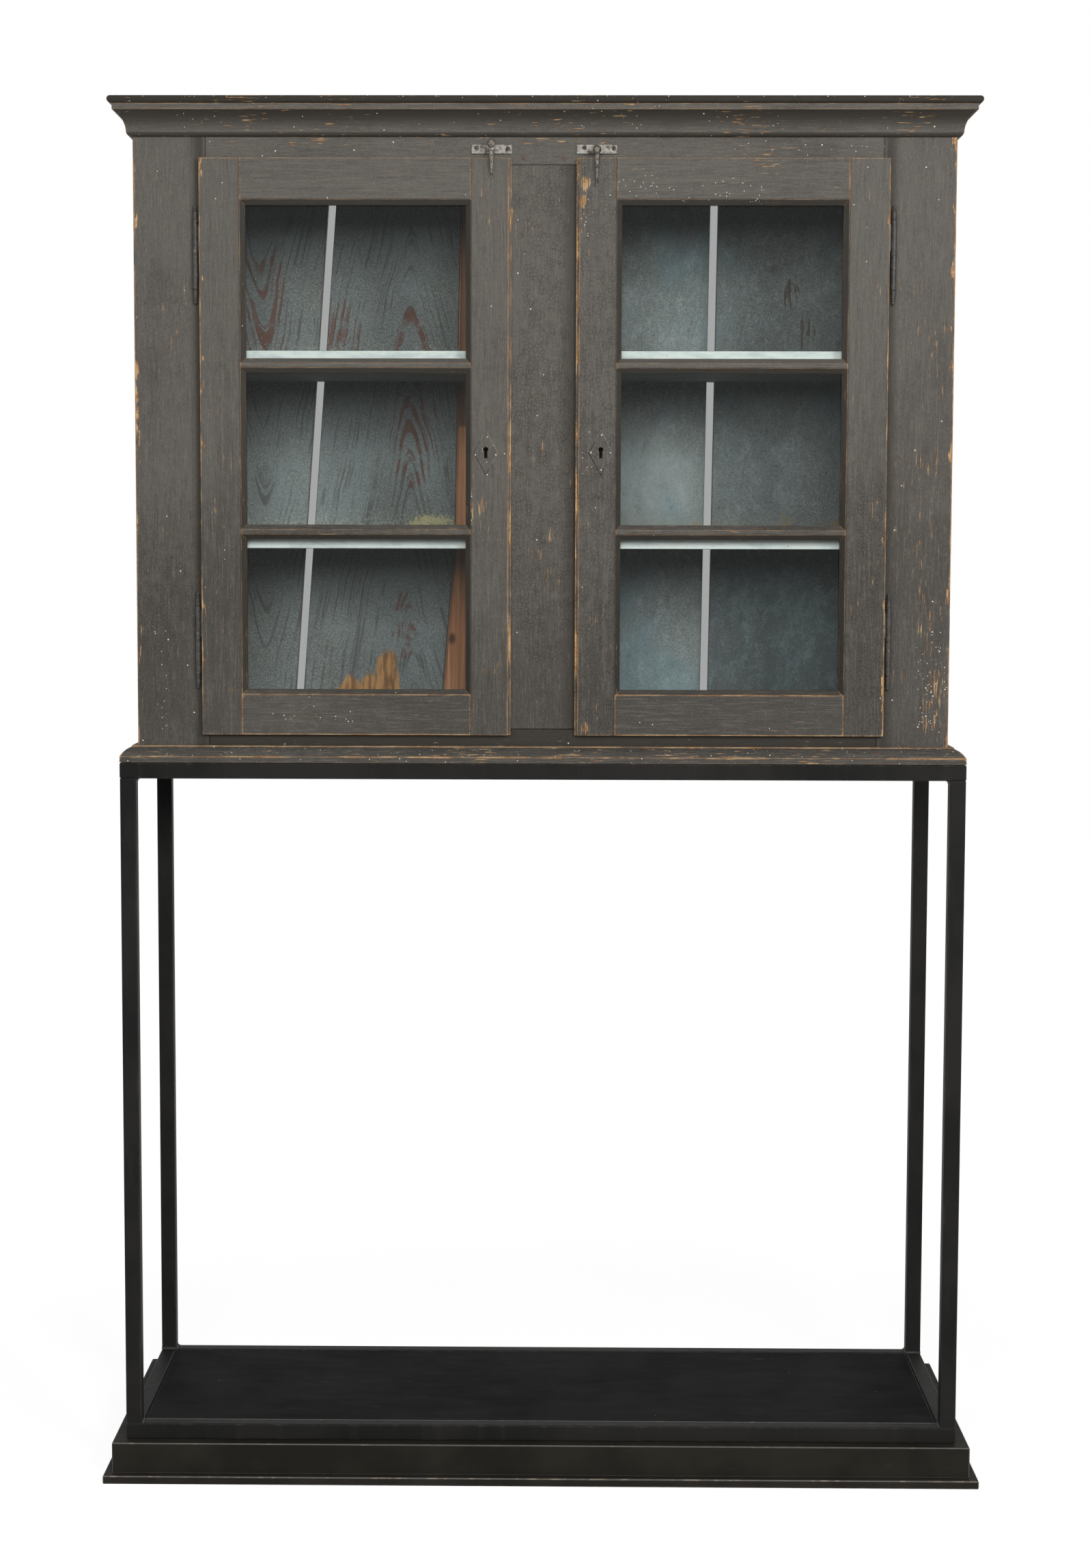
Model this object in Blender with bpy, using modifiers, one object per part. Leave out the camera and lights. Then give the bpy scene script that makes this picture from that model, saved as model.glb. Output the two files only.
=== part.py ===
"""A two-door glazed cabinet of painted pine, standing on a welded steel frame with a black plinth."""

import math

import bmesh
import bpy
from mathutils import Matrix, Vector

# All sizes are in metres. +Z is up, the doors face -Y, and the origin is under the middle of the base.
SEAT = 0.0003  # gap between pieces that touch
OVERCUT = 0.004  # how far a cutter runs past the face that it enters by

# Stand
TUBE = 0.025
TUBE_WALL = 0.002
TUBE_CORNER = 0.0025
STAND_WIDTH = 1.306
STAND_DEPTH = 0.426
LEG_LENGTH = 1.0201
VENT_RADIUS = 0.004
PANEL_DROP = 0.001
PANEL_CLEARANCE = 0.0015
PLINTH_HEIGHT = 0.0487
PLINTH_LEDGE = 0.020
BASE_THICKNESS = 0.013
BASE_LEDGE = 0.013
BLACK_EDGE = 0.0015

# Case
CASE_HEIGHT = 1.010
SIDE_THICKNESS = 0.022
TOP_THICKNESS = 0.020
FLOOR_THICKNESS = 0.020
SHELF_THICKNESS = 0.026
SHELF_SETBACK = 0.0010
LOWER_SPACE = 0.2785
MIDDLE_SPACE = 0.252
HOUSING_DEPTH = 0.006
BACK_THICKNESS = 0.016
BACK_REBATE = 0.010
BOARD_EDGE = 0.0012

# Back boards: where the gaps between them run, across from the middle of the case
SLIT_WIDTH = 0.013
LEFT_SLIT_TOP = -0.3464
LEFT_SLIT_BOTTOM = -0.4166
RIGHT_SLIT_TOP = 0.2840
RIGHT_SLIT_BOTTOM = 0.2705
CRACK_WIDTH = 0.0025
CRACK_TOP = -0.1364
CRACK_KNEE = -0.1470
CRACK_KNEE_HEIGHT = 0.337
CRACK_BOTTOM = -0.1761
CRACK_LAP = 0.010  # how far one board's tongue lies behind the other

# Face frame
FRAME_THICKNESS = 0.024
FRAME_STILE = 0.1105
FRAME_TOP_RAIL = 0.0772
FRAME_BOTTOM_RAIL = 0.0512
POST_WIDTH = 0.116
FRAME_TENON_LENGTH = 0.030
FRAME_TENON_THICKNESS = 0.008
FRAME_TENON_SHOULDER = 0.012

# Base moulding
MOULDING_PROJECTION = 0.0255
MOULDING_FILLET = 0.0092
MOULDING_HEIGHT = 0.0252
MOULDING_LEDGE = 0.0085
MOULDING_LIP = 0.002
MOULDING_BOW = 0.002

# Cornice
CORNICE_HEIGHT = 0.0583
CORNICE_RISE = 0.0017
CORNICE_PROJECTION = 0.034
NOSE_RADIUS = 0.0058
FASCIA_PROJECTION = 0.0272
FASCIA_HEIGHT = 0.0088
COVE_QUIRK = 0.0015
COVE_BOW = 0.0042
BEAD_PROJECTION = 0.0086
BEAD_HEIGHT = 0.0067

# Doors
LIP_OVERLAP = 0.0085
LIP_THICKNESS = 0.0124
LIP_GAP = 0.0006
TONGUE_THICKNESS = 0.012
TONGUE_CLEARANCE = 0.002
DOOR_STILE = 0.062
DOOR_RAIL = 0.0625
SIGHT_CHAMFER = 0.0075
CHAMFER_DEPTH = 0.0095
BAR_FLAT = 0.0075
PANES = 3
GLASS_THICKNESS = 0.003
GLASS_SETBACK = 0.0155
GLASS_REBATE = 0.006
GLASS_CLEARANCE = 0.001
CLOSING_STEP = 0.0045
CLOSING_STEP_DEPTH = 0.005
RAIL_TENON_LENGTH = 0.040
RAIL_TENON_SHOULDER = 0.014
RAIL_TENON_HAUNCH = 0.008
BAR_TENON_LENGTH = 0.010
BAR_TENON_HEIGHT = 0.005
TENON_SETBACK = 0.008
TENON_THICKNESS = 0.007

# Hinges
BARREL_RADIUS = 0.0044
BARREL_LENGTH = 0.104
FINIAL_LENGTH = 0.023
HINGE_PIN_RADIUS = 0.0025
HINGE_PIN_LENGTH = 0.036
HINGE_OFFSET = 0.0068
HINGE_STANDOFF = 0.0006
HINGE_INSET = 0.145
LEAF_THICKNESS = 0.002
LEAF_HEIGHT = 0.040
LEAF_DEPTH = 0.020
TURNED_STEPS = 16

# Locks
KEY_INSET = 0.0385
KEY_DROP = 0.0055
KEYHOLE_RADIUS = 0.0037
KEYHOLE_HEIGHT = 0.017
KEYHOLE_SLOT = 0.0048
KEYHOLE_DEPTH = 0.005
ESCUTCHEON_WIDTH = 0.037
ESCUTCHEON_HEIGHT = 0.068
ESCUTCHEON_THICKNESS = 0.001
LOCK_WIDTH = 0.046
LOCK_BELOW_KEY = 0.030
LOCK_ABOVE_KEY = 0.040
LOCK_THICKNESS = 0.012
LOCK_MARGIN = 0.0015
BOLT_RISE = 0.019
BOLT_HEIGHT = 0.014
BOLT_THICKNESS = 0.006
BOLT_LENGTH = 0.036
BOLT_THROW = 0.010
BOLT_SETBACK = 0.0026
BOLT_NOTCH = 0.006
STRIKE_CLEARANCE = 0.0015

# Latches
LATCH_PLATE_WIDTH = 0.062
LATCH_PLATE_HEIGHT = 0.0145
LATCH_PLATE_THICKNESS = 0.0025
LATCH_INSET = 0.0305
LATCH_RISE = 0.0227
LATCH_STEM_RADIUS = 0.0050
LATCH_STUD_RADIUS = 0.0026
LATCH_STUD_LENGTH = 0.006
HUB_RADIUS = 0.0050
HUB_LENGTH = 0.0095
FINGER_CLEARANCE = 0.0008
FINGER_ROOT_RADIUS = 0.0038
FINGER_TIP_RADIUS = 0.0014
FINGER_SET = 0.003
KNOB_RADIUS = 0.0066
LEFT_FINGER_LENGTH = 0.045
LEFT_STUD_DROP = 0.0
LEFT_KNOB_RISE = 0.0055
RIGHT_FINGER_LENGTH = 0.0545
RIGHT_STUD_DROP = 0.0035
RIGHT_KNOB_RISE = 0.0

# Levels, from the floor up
PLINTH_LOW = BASE_THICKNESS + SEAT
PLINTH_TOP = PLINTH_LOW + PLINTH_HEIGHT
BOTTOM_FRAME_LOW = PLINTH_TOP + SEAT
BOTTOM_FRAME_TOP = BOTTOM_FRAME_LOW + TUBE
LEG_LOW = BOTTOM_FRAME_TOP + SEAT
LEG_TOP = LEG_LOW + LEG_LENGTH
TOP_FRAME_LOW = LEG_TOP + SEAT
CASE_LOW = TOP_FRAME_LOW + TUBE + SEAT
CASE_TOP = CASE_LOW + CASE_HEIGHT
FRAME_TOP = CASE_TOP - TOP_THICKNESS - SEAT
OPENING_LOW = CASE_LOW + FRAME_BOTTOM_RAIL
OPENING_TOP = FRAME_TOP - FRAME_TOP_RAIL
LOW_SHELF_LOW = OPENING_LOW + LOWER_SPACE
HIGH_SHELF_LOW = LOW_SHELF_LOW + SHELF_THICKNESS + MIDDLE_SPACE
DOOR_LOW = OPENING_LOW - LIP_OVERLAP
DOOR_TOP = OPENING_TOP + LIP_OVERLAP
KEY_LEVEL = (DOOR_LOW + DOOR_TOP) / 2 - KEY_DROP
LATCH_LEVEL = OPENING_TOP + LATCH_RISE
HINGE_LEVELS = {"lower": DOOR_LOW + HINGE_INSET, "upper": DOOR_TOP - HINGE_INSET}

# Places in depth, from the back forward
BACK = (STAND_DEPTH + PLINTH_LEDGE + BASE_LEDGE) / 2
BACK_BOARD_FRONT = BACK - BACK_THICKNESS
STAND_FRONT = BACK - STAND_DEPTH
CASE_FRONT = STAND_FRONT + MOULDING_PROJECTION
FRAME_BACK = CASE_FRONT + FRAME_THICKNESS
DOOR_FRONT = CASE_FRONT - LIP_GAP - LIP_THICKNESS
TONGUE_FRONT = DOOR_FRONT + LIP_THICKNESS
DOOR_BACK = TONGUE_FRONT + TONGUE_THICKNESS
LOCK_FRONT = DOOR_BACK + SEAT
HINGE_Y = CASE_FRONT - HINGE_STANDOFF - BARREL_RADIUS
LATCH_FRONT = CASE_FRONT - SEAT - LATCH_PLATE_THICKNESS
HUB_BACK = DOOR_FRONT - FINGER_CLEARANCE

# Places across, as distances from the middle of the case
CASE_HALF = STAND_WIDTH / 2 - MOULDING_PROJECTION
SIDE_INNER = CASE_HALF - SIDE_THICKNESS
OPENING_OUTER = CASE_HALF - FRAME_STILE
OPENING_INNER = POST_WIDTH / 2
DOOR_CLOSING = OPENING_INNER - LIP_OVERLAP
DOOR_HINGE = OPENING_OUTER + LIP_OVERLAP
HINGE_X = DOOR_HINGE + HINGE_OFFSET
LEAF_ROOT = (HINGE_PIN_RADIUS + SEAT + BARREL_RADIUS) / 2
LIP_WIDTH = LIP_OVERLAP + TONGUE_CLEARANCE
LOCK_FACE = DOOR_CLOSING + DOOR_STILE
HINGE_FACE = DOOR_HINGE - DOOR_STILE
KEY_X = DOOR_CLOSING + KEY_INSET
LOCK_EDGE = DOOR_CLOSING + LIP_WIDTH + LOCK_MARGIN
LATCH_X = DOOR_CLOSING + LATCH_INSET

SIDES = {"left": -1, "right": 1}
UPRIGHT = Matrix.Rotation(math.pi / 2, 3, "X")
FLAT = Matrix.Identity(3)

for old in list(bpy.data.objects):
    bpy.data.objects.remove(old)

cabinet = bpy.data.collections.new("cabinet_on_stand")
cutters = bpy.data.collections.new("cutters")
for collection in (cabinet, cutters):
    bpy.context.scene.collection.children.link(collection)


def finish(name, colour, roughness, metallic=0.0, alpha=1.0):
    """A Principled material."""
    material = bpy.data.materials.new(name)
    material.use_nodes = True
    shader = material.node_tree.nodes["Principled BSDF"]
    shader.inputs["Base Color"].default_value = (*colour, 1.0)
    shader.inputs["Roughness"].default_value = roughness
    shader.inputs["Metallic"].default_value = metallic
    shader.inputs["Alpha"].default_value = alpha
    return material


GREY_PAINT = finish("worn_grey_paint", (0.085, 0.078, 0.070), 0.6)
BLUE_PAINT = finish("blue_grey_paint", (0.20, 0.24, 0.25), 0.7)
RAW_PINE = finish("raw_pine", (0.20, 0.09, 0.05), 0.75)
BLACK_STEEL = finish("black_steel", (0.012, 0.013, 0.014), 0.42)
BLACK_BOARD = finish("black_board", (0.010, 0.010, 0.011), 0.45)
GLASS = finish("old_glass", (0.85, 0.90, 0.89), 0.05, alpha=0.2)
PAINTED_IRON = finish("painted_iron", (0.07, 0.065, 0.06), 0.55)
BARE_STEEL = finish("bare_steel", (0.34, 0.31, 0.28), 0.45, metallic=1.0)
LOCK_IRON = finish("lock_iron", (0.10, 0.09, 0.085), 0.6, metallic=1.0)


def add(name, data, place, material=None, parent=None):
    """Puts a shape in the scene at a world place: a part if it has a material, otherwise a hidden tool."""
    obj = bpy.data.objects.new(name, data)
    if material:
        data.materials.append(material)
        cabinet.objects.link(obj)
    else:
        obj.hide_render = True
        obj.display_type = "WIRE"
        cutters.objects.link(obj)
    obj.location = place
    if parent:
        obj.parent = parent
        obj.location = Vector(place) - parent.location
    return obj


def pivot(name, place):
    """An empty on a joint's axis, which the moving pieces are parented to."""
    empty = bpy.data.objects.new(name, None)
    empty.location = place
    cabinet.objects.link(empty)
    return empty


def to_mesh(shape, name):
    """Closes a bmesh, turns its faces outwards and makes it a mesh."""
    bmesh.ops.remove_doubles(shape, verts=shape.verts, dist=1e-6)
    bmesh.ops.recalc_face_normals(shape, faces=shape.faces)
    mesh = bpy.data.meshes.new(name)
    shape.to_mesh(mesh)
    shape.free()
    return mesh


def curve_shape(name, curve):
    """A curve's surface as a bmesh."""
    guide = add(name, curve, (0, 0, 0))
    graph = bpy.context.evaluated_depsgraph_get()
    made = bpy.data.meshes.new_from_object(guide.evaluated_get(graph))
    bpy.data.objects.remove(guide)
    shape = bmesh.new()
    shape.from_mesh(made)
    return shape


def block(name, low, high, material=None, parent=None, edge=0.0):
    """A box between two corners, with its edges eased where an edge width is given."""
    low, high = Vector(low), Vector(high)
    shape = bmesh.new()
    bmesh.ops.create_cube(shape, size=1.0)
    bmesh.ops.scale(shape, verts=shape.verts, vec=high - low)
    obj = add(name, to_mesh(shape, name), (low + high) / 2, material, parent)
    if edge:
        bevel = obj.modifiers.new("eased_edges", "BEVEL")
        bevel.width = edge
        bevel.segments = 1
    return obj


def plate_mesh(name, loops, thickness, turn):
    """Closed outlines, holes after the first, as a plate of this thickness about its own middle."""
    curve = bpy.data.curves.new(name, "CURVE")
    curve.dimensions = "2D"
    curve.fill_mode = "BOTH"
    curve.extrude = thickness / 2
    for loop in loops:
        spline = curve.splines.new("POLY")
        spline.points.add(len(loop) - 1)
        for point, (across, along) in zip(spline.points, loop):
            point.co = (across, along, 0.0, 1.0)
        spline.use_cyclic_u = True
    shape = curve_shape(name, curve)
    bmesh.ops.rotate(shape, verts=shape.verts, cent=(0, 0, 0), matrix=turn)
    return to_mesh(shape, name)


def upright_plate(name, loops, front, back, material=None, parent=None):
    """Outlines in X and Z, as a board between two depths."""
    mesh = plate_mesh(name, loops, back - front, UPRIGHT)
    return add(name, mesh, (0, (front + back) / 2, 0), material, parent)


def rod(name, x, z, front, back, radius):
    """A round tool that lies from front to back."""
    shape = bmesh.new()
    bmesh.ops.create_cone(
        shape, cap_ends=True, segments=TURNED_STEPS, radius1=radius, radius2=radius, depth=back - front
    )
    bmesh.ops.rotate(shape, verts=shape.verts, cent=(0, 0, 0), matrix=UPRIGHT)
    return add(name, to_mesh(shape, name), (x, (front + back) / 2, z))


def turned(name, profile, place, material, parent=None):
    """A round piece: radius and height from the top down its outside, turned about Z."""
    mesh = bpy.data.meshes.new(name)
    edges = [(i, i + 1) for i in range(len(profile) - 1)]
    mesh.from_pydata([(radius, 0.0, height) for radius, height in profile], edges, [])
    obj = add(name, mesh, place, material, parent)
    screw = obj.modifiers.new("turning", "SCREW")
    screw.steps = screw.render_steps = TURNED_STEPS
    screw.use_merge_vertices = True
    screw.merge_threshold = 0.00001
    return obj


def change(obj, operation, *tools):
    """Booleans on a piece, one for each tool."""
    for tool in tools:
        modifier = obj.modifiers.new(f"{operation.lower()}_{tool.name}", "BOOLEAN")
        modifier.operation = operation
        modifier.solver = "EXACT"
        modifier.object = tool
    return obj


def cut(obj, *tools):
    return change(obj, "DIFFERENCE", *tools)


def join(obj, *tools):
    return change(obj, "UNION", *tools)


def arc(centre, radius, start, end, steps):
    """Points on a circle between two angles in degrees, both ends included."""
    angles = [math.radians(start + (end - start) * i / steps) for i in range(steps + 1)]
    return [(centre[0] + radius * math.cos(a), centre[1] + radius * math.sin(a)) for a in angles]


def bowed(start, end, bow, steps):
    """Points between two ends on a shallow curve, bowed to the right of the way it runs."""
    start, end = Vector(start), Vector(end)
    right = Vector((end.y - start.y, start.x - end.x)).normalized()
    parts = [i / steps for i in range(steps + 1)]
    return [tuple(start.lerp(end, t) + right * bow * 4 * t * (1 - t)) for t in parts]


def rectangle(x0, x1, z0, z1):
    return [(x0, z0), (x1, z0), (x1, z1), (x0, z1)]


def rounded_square(side, corner):
    half = side / 2 - corner
    points = []
    for quarter, (x, y) in enumerate([(half, half), (-half, half), (-half, -half), (half, -half)]):
        points += arc((x, y), corner, 90 * quarter, 90 * quarter + 90, 2)
    return points


def spread(side, *distances):
    """Distances from the middle as X values on one side of the case, in rising order."""
    return sorted(side * distance for distance in distances)


def mirrored(side, outline):
    return [(side * x, z) for x, z in outline]


def grown(low, high, gap):
    """A box's corners moved outwards by a gap."""
    return [value - gap for value in low], [value + gap for value in high]


def tube_ring(name, level, wall, material=None):
    """Square tube mitred round the stand's outline: the tube itself, or its bore with the wall taken off."""
    shape = bmesh.new()
    section = rounded_square(TUBE - 2 * wall, TUBE_CORNER - wall)
    verts = [shape.verts.new((1.5 * TUBE + across, 1.5 * TUBE + across, up)) for across, up in section]
    for i, vert in enumerate(verts):
        shape.edges.new((vert, verts[i - 1]))
    bmesh.ops.spin(
        shape,
        geom=shape.verts[:] + shape.edges[:],
        cent=(0, 0, 0),
        axis=(0, 0, 1),
        angle=2 * math.pi,
        steps=4,
        use_merge=True,
    )
    for vert in shape.verts:
        vert.co.x += math.copysign(STAND_WIDTH / 2 - 2 * TUBE, vert.co.x)
        vert.co.y += math.copysign(STAND_DEPTH / 2 - 2 * TUBE, vert.co.y)
    return add(name, to_mesh(shape, name), (0, (STAND_FRONT + BACK) / 2, level + TUBE / 2), material)


def build_stand():
    """Four legs welded between two frames of the same tube, on a plinth and a base board."""
    leg_x = STAND_WIDTH / 2 - TUBE / 2
    rows = {"front": STAND_FRONT + TUBE / 2, "back": BACK - TUBE / 2}
    bore = TUBE - 2 * TUBE_WALL
    section = [rounded_square(TUBE, TUBE_CORNER), rounded_square(bore, TUBE_CORNER - TUBE_WALL)]
    bottom = tube_ring("stand_bottom_frame", BOTTOM_FRAME_LOW, 0.0, BLACK_STEEL)
    top = tube_ring("stand_top_frame", TOP_FRAME_LOW, 0.0, BLACK_STEEL)
    cut(bottom, tube_ring("bottom_frame_bore", BOTTOM_FRAME_LOW, TUBE_WALL))
    cut(top, tube_ring("top_frame_bore", TOP_FRAME_LOW, TUBE_WALL))
    for row, y in rows.items():
        for word, side in SIDES.items():
            name = f"{row}_{word}_leg"
            x = side * leg_x
            tube = plate_mesh(name, section, LEG_LENGTH, FLAT)
            add(name, tube, (x, y, (LEG_LOW + LEG_TOP) / 2), BLACK_STEEL)
            for frame, level in ((bottom, BOTTOM_FRAME_TOP), (top, TOP_FRAME_LOW)):
                shape = bmesh.new()
                bmesh.ops.create_cone(
                    shape, cap_ends=True, segments=12, radius1=VENT_RADIUS, radius2=VENT_RADIUS,
                    depth=2 * OVERCUT,
                )
                cut(frame, add(f"{frame.name}_{name}_vent", to_mesh(shape, "vent"), (x, y, level)))
    half, inset = STAND_WIDTH / 2, TUBE + PANEL_CLEARANCE
    low = (-half + inset, STAND_FRONT + inset, PLINTH_TOP + SEAT)
    high = (half - inset, BACK - inset, BOTTOM_FRAME_TOP - PANEL_DROP)
    block("stand_panel", low, high, BLACK_BOARD, edge=BLACK_EDGE)
    half += PLINTH_LEDGE
    low, high = (-half, STAND_FRONT - PLINTH_LEDGE, PLINTH_LOW), (half, BACK, PLINTH_TOP)
    block("plinth", low, high, BLACK_BOARD, edge=BLACK_EDGE)
    half += BASE_LEDGE
    block("base_board", (-half, -BACK, 0.0), (half, BACK, BASE_THICKNESS), BLACK_BOARD, edge=BLACK_EDGE)


def build_carcass():
    """Sides, top, floor and shelves, the shelves housed across the sides."""
    shelf_front = FRAME_BACK + SHELF_SETBACK
    shelves = {
        "case_floor": (OPENING_LOW - FLOOR_THICKNESS, FLOOR_THICKNESS, FRAME_BACK + SEAT),
        "lower_shelf": (LOW_SHELF_LOW, SHELF_THICKNESS, shelf_front),
        "upper_shelf": (HIGH_SHELF_LOW, SHELF_THICKNESS, shelf_front),
    }
    reach = SIDE_INNER + BACK_REBATE
    low, high = (-reach, BACK_BOARD_FRONT - SEAT, 0.0), (reach, BACK + OVERCUT, CASE_TOP + OVERCUT)
    tools = [block("back_rebate", low, high)]
    reach = SIDE_INNER + HOUSING_DEPTH
    for name, (level, thickness, front) in shelves.items():
        low = (-reach + SEAT, front, level)
        high = (reach - SEAT, BACK_BOARD_FRONT - SEAT, level + thickness)
        block(name, low, high, BLUE_PAINT, edge=BOARD_EDGE)
        low = (-reach, FRAME_BACK - OVERCUT, level - SEAT)
        high = (reach, BACK_BOARD_FRONT, level + thickness + SEAT)
        tools.append(block(f"{name}_housing", low, high))
    for word, side in SIDES.items():
        x0, x1 = spread(side, SIDE_INNER, CASE_HALF)
        low, high = (x0, FRAME_BACK + SEAT, CASE_LOW), (x1, BACK, FRAME_TOP)
        cut(block(f"{word}_side", low, high, GREY_PAINT, edge=BOARD_EDGE), *tools)
    low, high = (-CASE_HALF, CASE_FRONT, FRAME_TOP + SEAT), (CASE_HALF, BACK, CASE_TOP)
    block("case_top", low, high, GREY_PAINT, edge=BOARD_EDGE)


def build_back():
    """Four upright boards in the back rebate, shrunk apart on slanting joints, one of them half-lapped."""
    edge = SIDE_INNER + BACK_REBATE - SEAT
    slit, crack = SLIT_WIDTH / 2, CRACK_WIDTH / 2
    knee = CASE_LOW + CRACK_KNEE_HEIGHT
    joints = (  # a line, then where the board on its left ends and the one on its right begins
        ([(-edge, CASE_LOW), (-edge, FRAME_TOP)], 0.0, 0.0),
        ([(LEFT_SLIT_BOTTOM, CASE_LOW), (LEFT_SLIT_TOP, FRAME_TOP)], -slit, slit),
        ([(CRACK_BOTTOM, CASE_LOW), (CRACK_KNEE, knee), (CRACK_TOP, FRAME_TOP)], -crack, -CRACK_LAP),
        ([(RIGHT_SLIT_BOTTOM, CASE_LOW), (RIGHT_SLIT_TOP, FRAME_TOP)], -slit, slit),
        ([(edge, CASE_LOW), (edge, FRAME_TOP)], 0.0, 0.0),
    )
    boards = (
        ("left_back_board", BLUE_PAINT),
        ("left_middle_back_board", BLUE_PAINT),
        ("right_middle_back_board", RAW_PINE),
        ("right_back_board", BLUE_PAINT),
    )
    made = []
    for (name, material), (left, _, begins), (right, ends, _) in zip(boards, joints, joints[1:]):
        outline = [(x + begins, z) for x, z in left]
        outline += [(x + ends, z) for x, z in reversed(right)]
        made.append(upright_plate(name, [outline], BACK_BOARD_FRONT, BACK, material))
    seam = (BACK_BOARD_FRONT + BACK) / 2
    line = [(CRACK_BOTTOM, CASE_LOW - OVERCUT), (CRACK_KNEE, knee), (CRACK_TOP, FRAME_TOP + OVERCUT)]
    halves = (
        (made[1], -CRACK_LAP - CRACK_WIDTH, OVERCUT, seam, BACK + OVERCUT),
        (made[2], -CRACK_LAP - OVERCUT, crack, BACK_BOARD_FRONT - OVERCUT, seam + SEAT),
    )
    for board, begins, ends, front, back in halves:
        outline = [(x + begins, z) for x, z in line] + [(x + ends, z) for x, z in reversed(line)]
        cut(board, upright_plate(f"{board.name}_lap", [outline], front, back))


def leaf_box(side, level, where):
    """One hinge leaf: straight back into the frame, or sideways into the edge of the door."""
    half = LEAF_THICKNESS / 2
    if where == "frame":
        middle = level - BARREL_LENGTH / 4
        x0, x1 = side * HINGE_X - half, side * HINGE_X + half
        y0, y1 = HINGE_Y + LEAF_ROOT, CASE_FRONT + LEAF_DEPTH
    else:
        middle = level + BARREL_LENGTH / 4
        x0, x1 = spread(side, HINGE_X - LEAF_ROOT, DOOR_HINGE - LEAF_DEPTH)
        y0, y1 = HINGE_Y - half, HINGE_Y + half
    return (x0, y0, middle - LEAF_HEIGHT / 2), (x1, y1, middle + LEAF_HEIGHT / 2)


def leaf_mortises(side, word, where):
    boxes = {place: leaf_box(side, level, where) for place, level in HINGE_LEVELS.items()}
    return [block(f"{word}_{place}_{where}_leaf_mortise", *grown(*box, SEAT)) for place, box in boxes.items()]


def bolt_box(side):
    """A lock bolt, drawn back into its case."""
    x0, x1 = spread(side, LOCK_EDGE + SEAT, LOCK_EDGE + SEAT + BOLT_LENGTH)
    middle, half = KEY_LEVEL + BOLT_RISE, BOLT_HEIGHT / 2
    y = LOCK_FRONT + BOLT_SETBACK
    return (x0, y, middle - half), (x1, y + BOLT_THICKNESS, middle + half)


def build_face_frame():
    """Stiles, rails and centre post, tenoned together in front of the case."""
    y0 = CASE_FRONT + (FRAME_THICKNESS - FRAME_TENON_THICKNESS) / 2
    y1 = y0 + FRAME_TENON_THICKNESS
    rails, mortises = [], []
    levels = {"frame_top_rail": (OPENING_TOP, FRAME_TOP), "frame_bottom_rail": (CASE_LOW, OPENING_LOW)}
    for name, (z0, z1) in levels.items():
        low, high = (-OPENING_OUTER + SEAT, CASE_FRONT, z0), (OPENING_OUTER - SEAT, FRAME_BACK, z1)
        rail = block(name, low, high, GREY_PAINT, edge=BOARD_EDGE)
        end = OPENING_OUTER + FRAME_TENON_LENGTH
        tenon = (-end, y0, z0 + FRAME_TENON_SHOULDER), (end, y1, z1 - FRAME_TENON_SHOULDER)
        rails.append(join(rail, block(f"{name}_tenons", *tenon)))
        mortises.append(block(f"{name}_mortises", *grown(*tenon, SEAT)))
    for word, side in SIDES.items():
        x0, x1 = spread(side, OPENING_OUTER, CASE_HALF)
        low, high = (x0, CASE_FRONT, CASE_LOW), (x1, FRAME_BACK, FRAME_TOP)
        stile = block(f"frame_{word}_stile", low, high, GREY_PAINT, edge=BOARD_EDGE)
        cut(stile, *mortises, *leaf_mortises(side, word, "frame"))
    low = (-OPENING_INNER, CASE_FRONT, OPENING_LOW + SEAT)
    high = (OPENING_INNER, FRAME_BACK, OPENING_TOP - SEAT)
    post = block("centre_post", low, high, GREY_PAINT, edge=BOARD_EDGE)
    half = OPENING_INNER - FRAME_TENON_SHOULDER
    tenon = (-half, y0, OPENING_LOW - FRAME_TENON_LENGTH), (half, y1, OPENING_TOP + FRAME_TENON_LENGTH)
    join(post, block("post_tenons", *tenon))
    mortise = block("post_mortises", *grown(*tenon, SEAT))
    for rail in rails:
        cut(rail, mortise)
    for word, side in SIDES.items():
        low, high = bolt_box(side)
        x0, x1 = spread(side, OPENING_INNER - BOLT_THROW, OPENING_INNER + OVERCUT)
        low, high = grown((x0, *low[1:]), (x1, *high[1:]), STRIKE_CLEARANCE)
        cut(post, block(f"{word}_strike", low, high))


def mitred_moulding(name, profile, level):
    """A moulding round the front and both sides of the case, mitred at the front corners.

    The profile holds the projection from the face of the case, and the height above a level.
    """
    shape = bmesh.new()
    verts = [shape.verts.new((-CASE_HALF - out, BACK, level + up)) for out, up in profile]
    end = shape.faces.new(verts)
    runs = (
        lambda place: (place.x, CASE_FRONT + CASE_HALF + place.x, place.z),
        lambda place: (-place.x, place.y, place.z),
        lambda place: (place.x, BACK, place.z),
    )
    for run in runs:
        made = bmesh.ops.extrude_face_region(shape, geom=[end])["geom"]
        if run is not runs[0]:
            bmesh.ops.delete(shape, geom=[end], context="FACES_ONLY")
        end = next(item for item in made if isinstance(item, bmesh.types.BMFace))
        for vert in end.verts:
            vert.co = run(vert.co)
    return add(name, to_mesh(shape, name), (0, 0, 0), GREY_PAINT)


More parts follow.
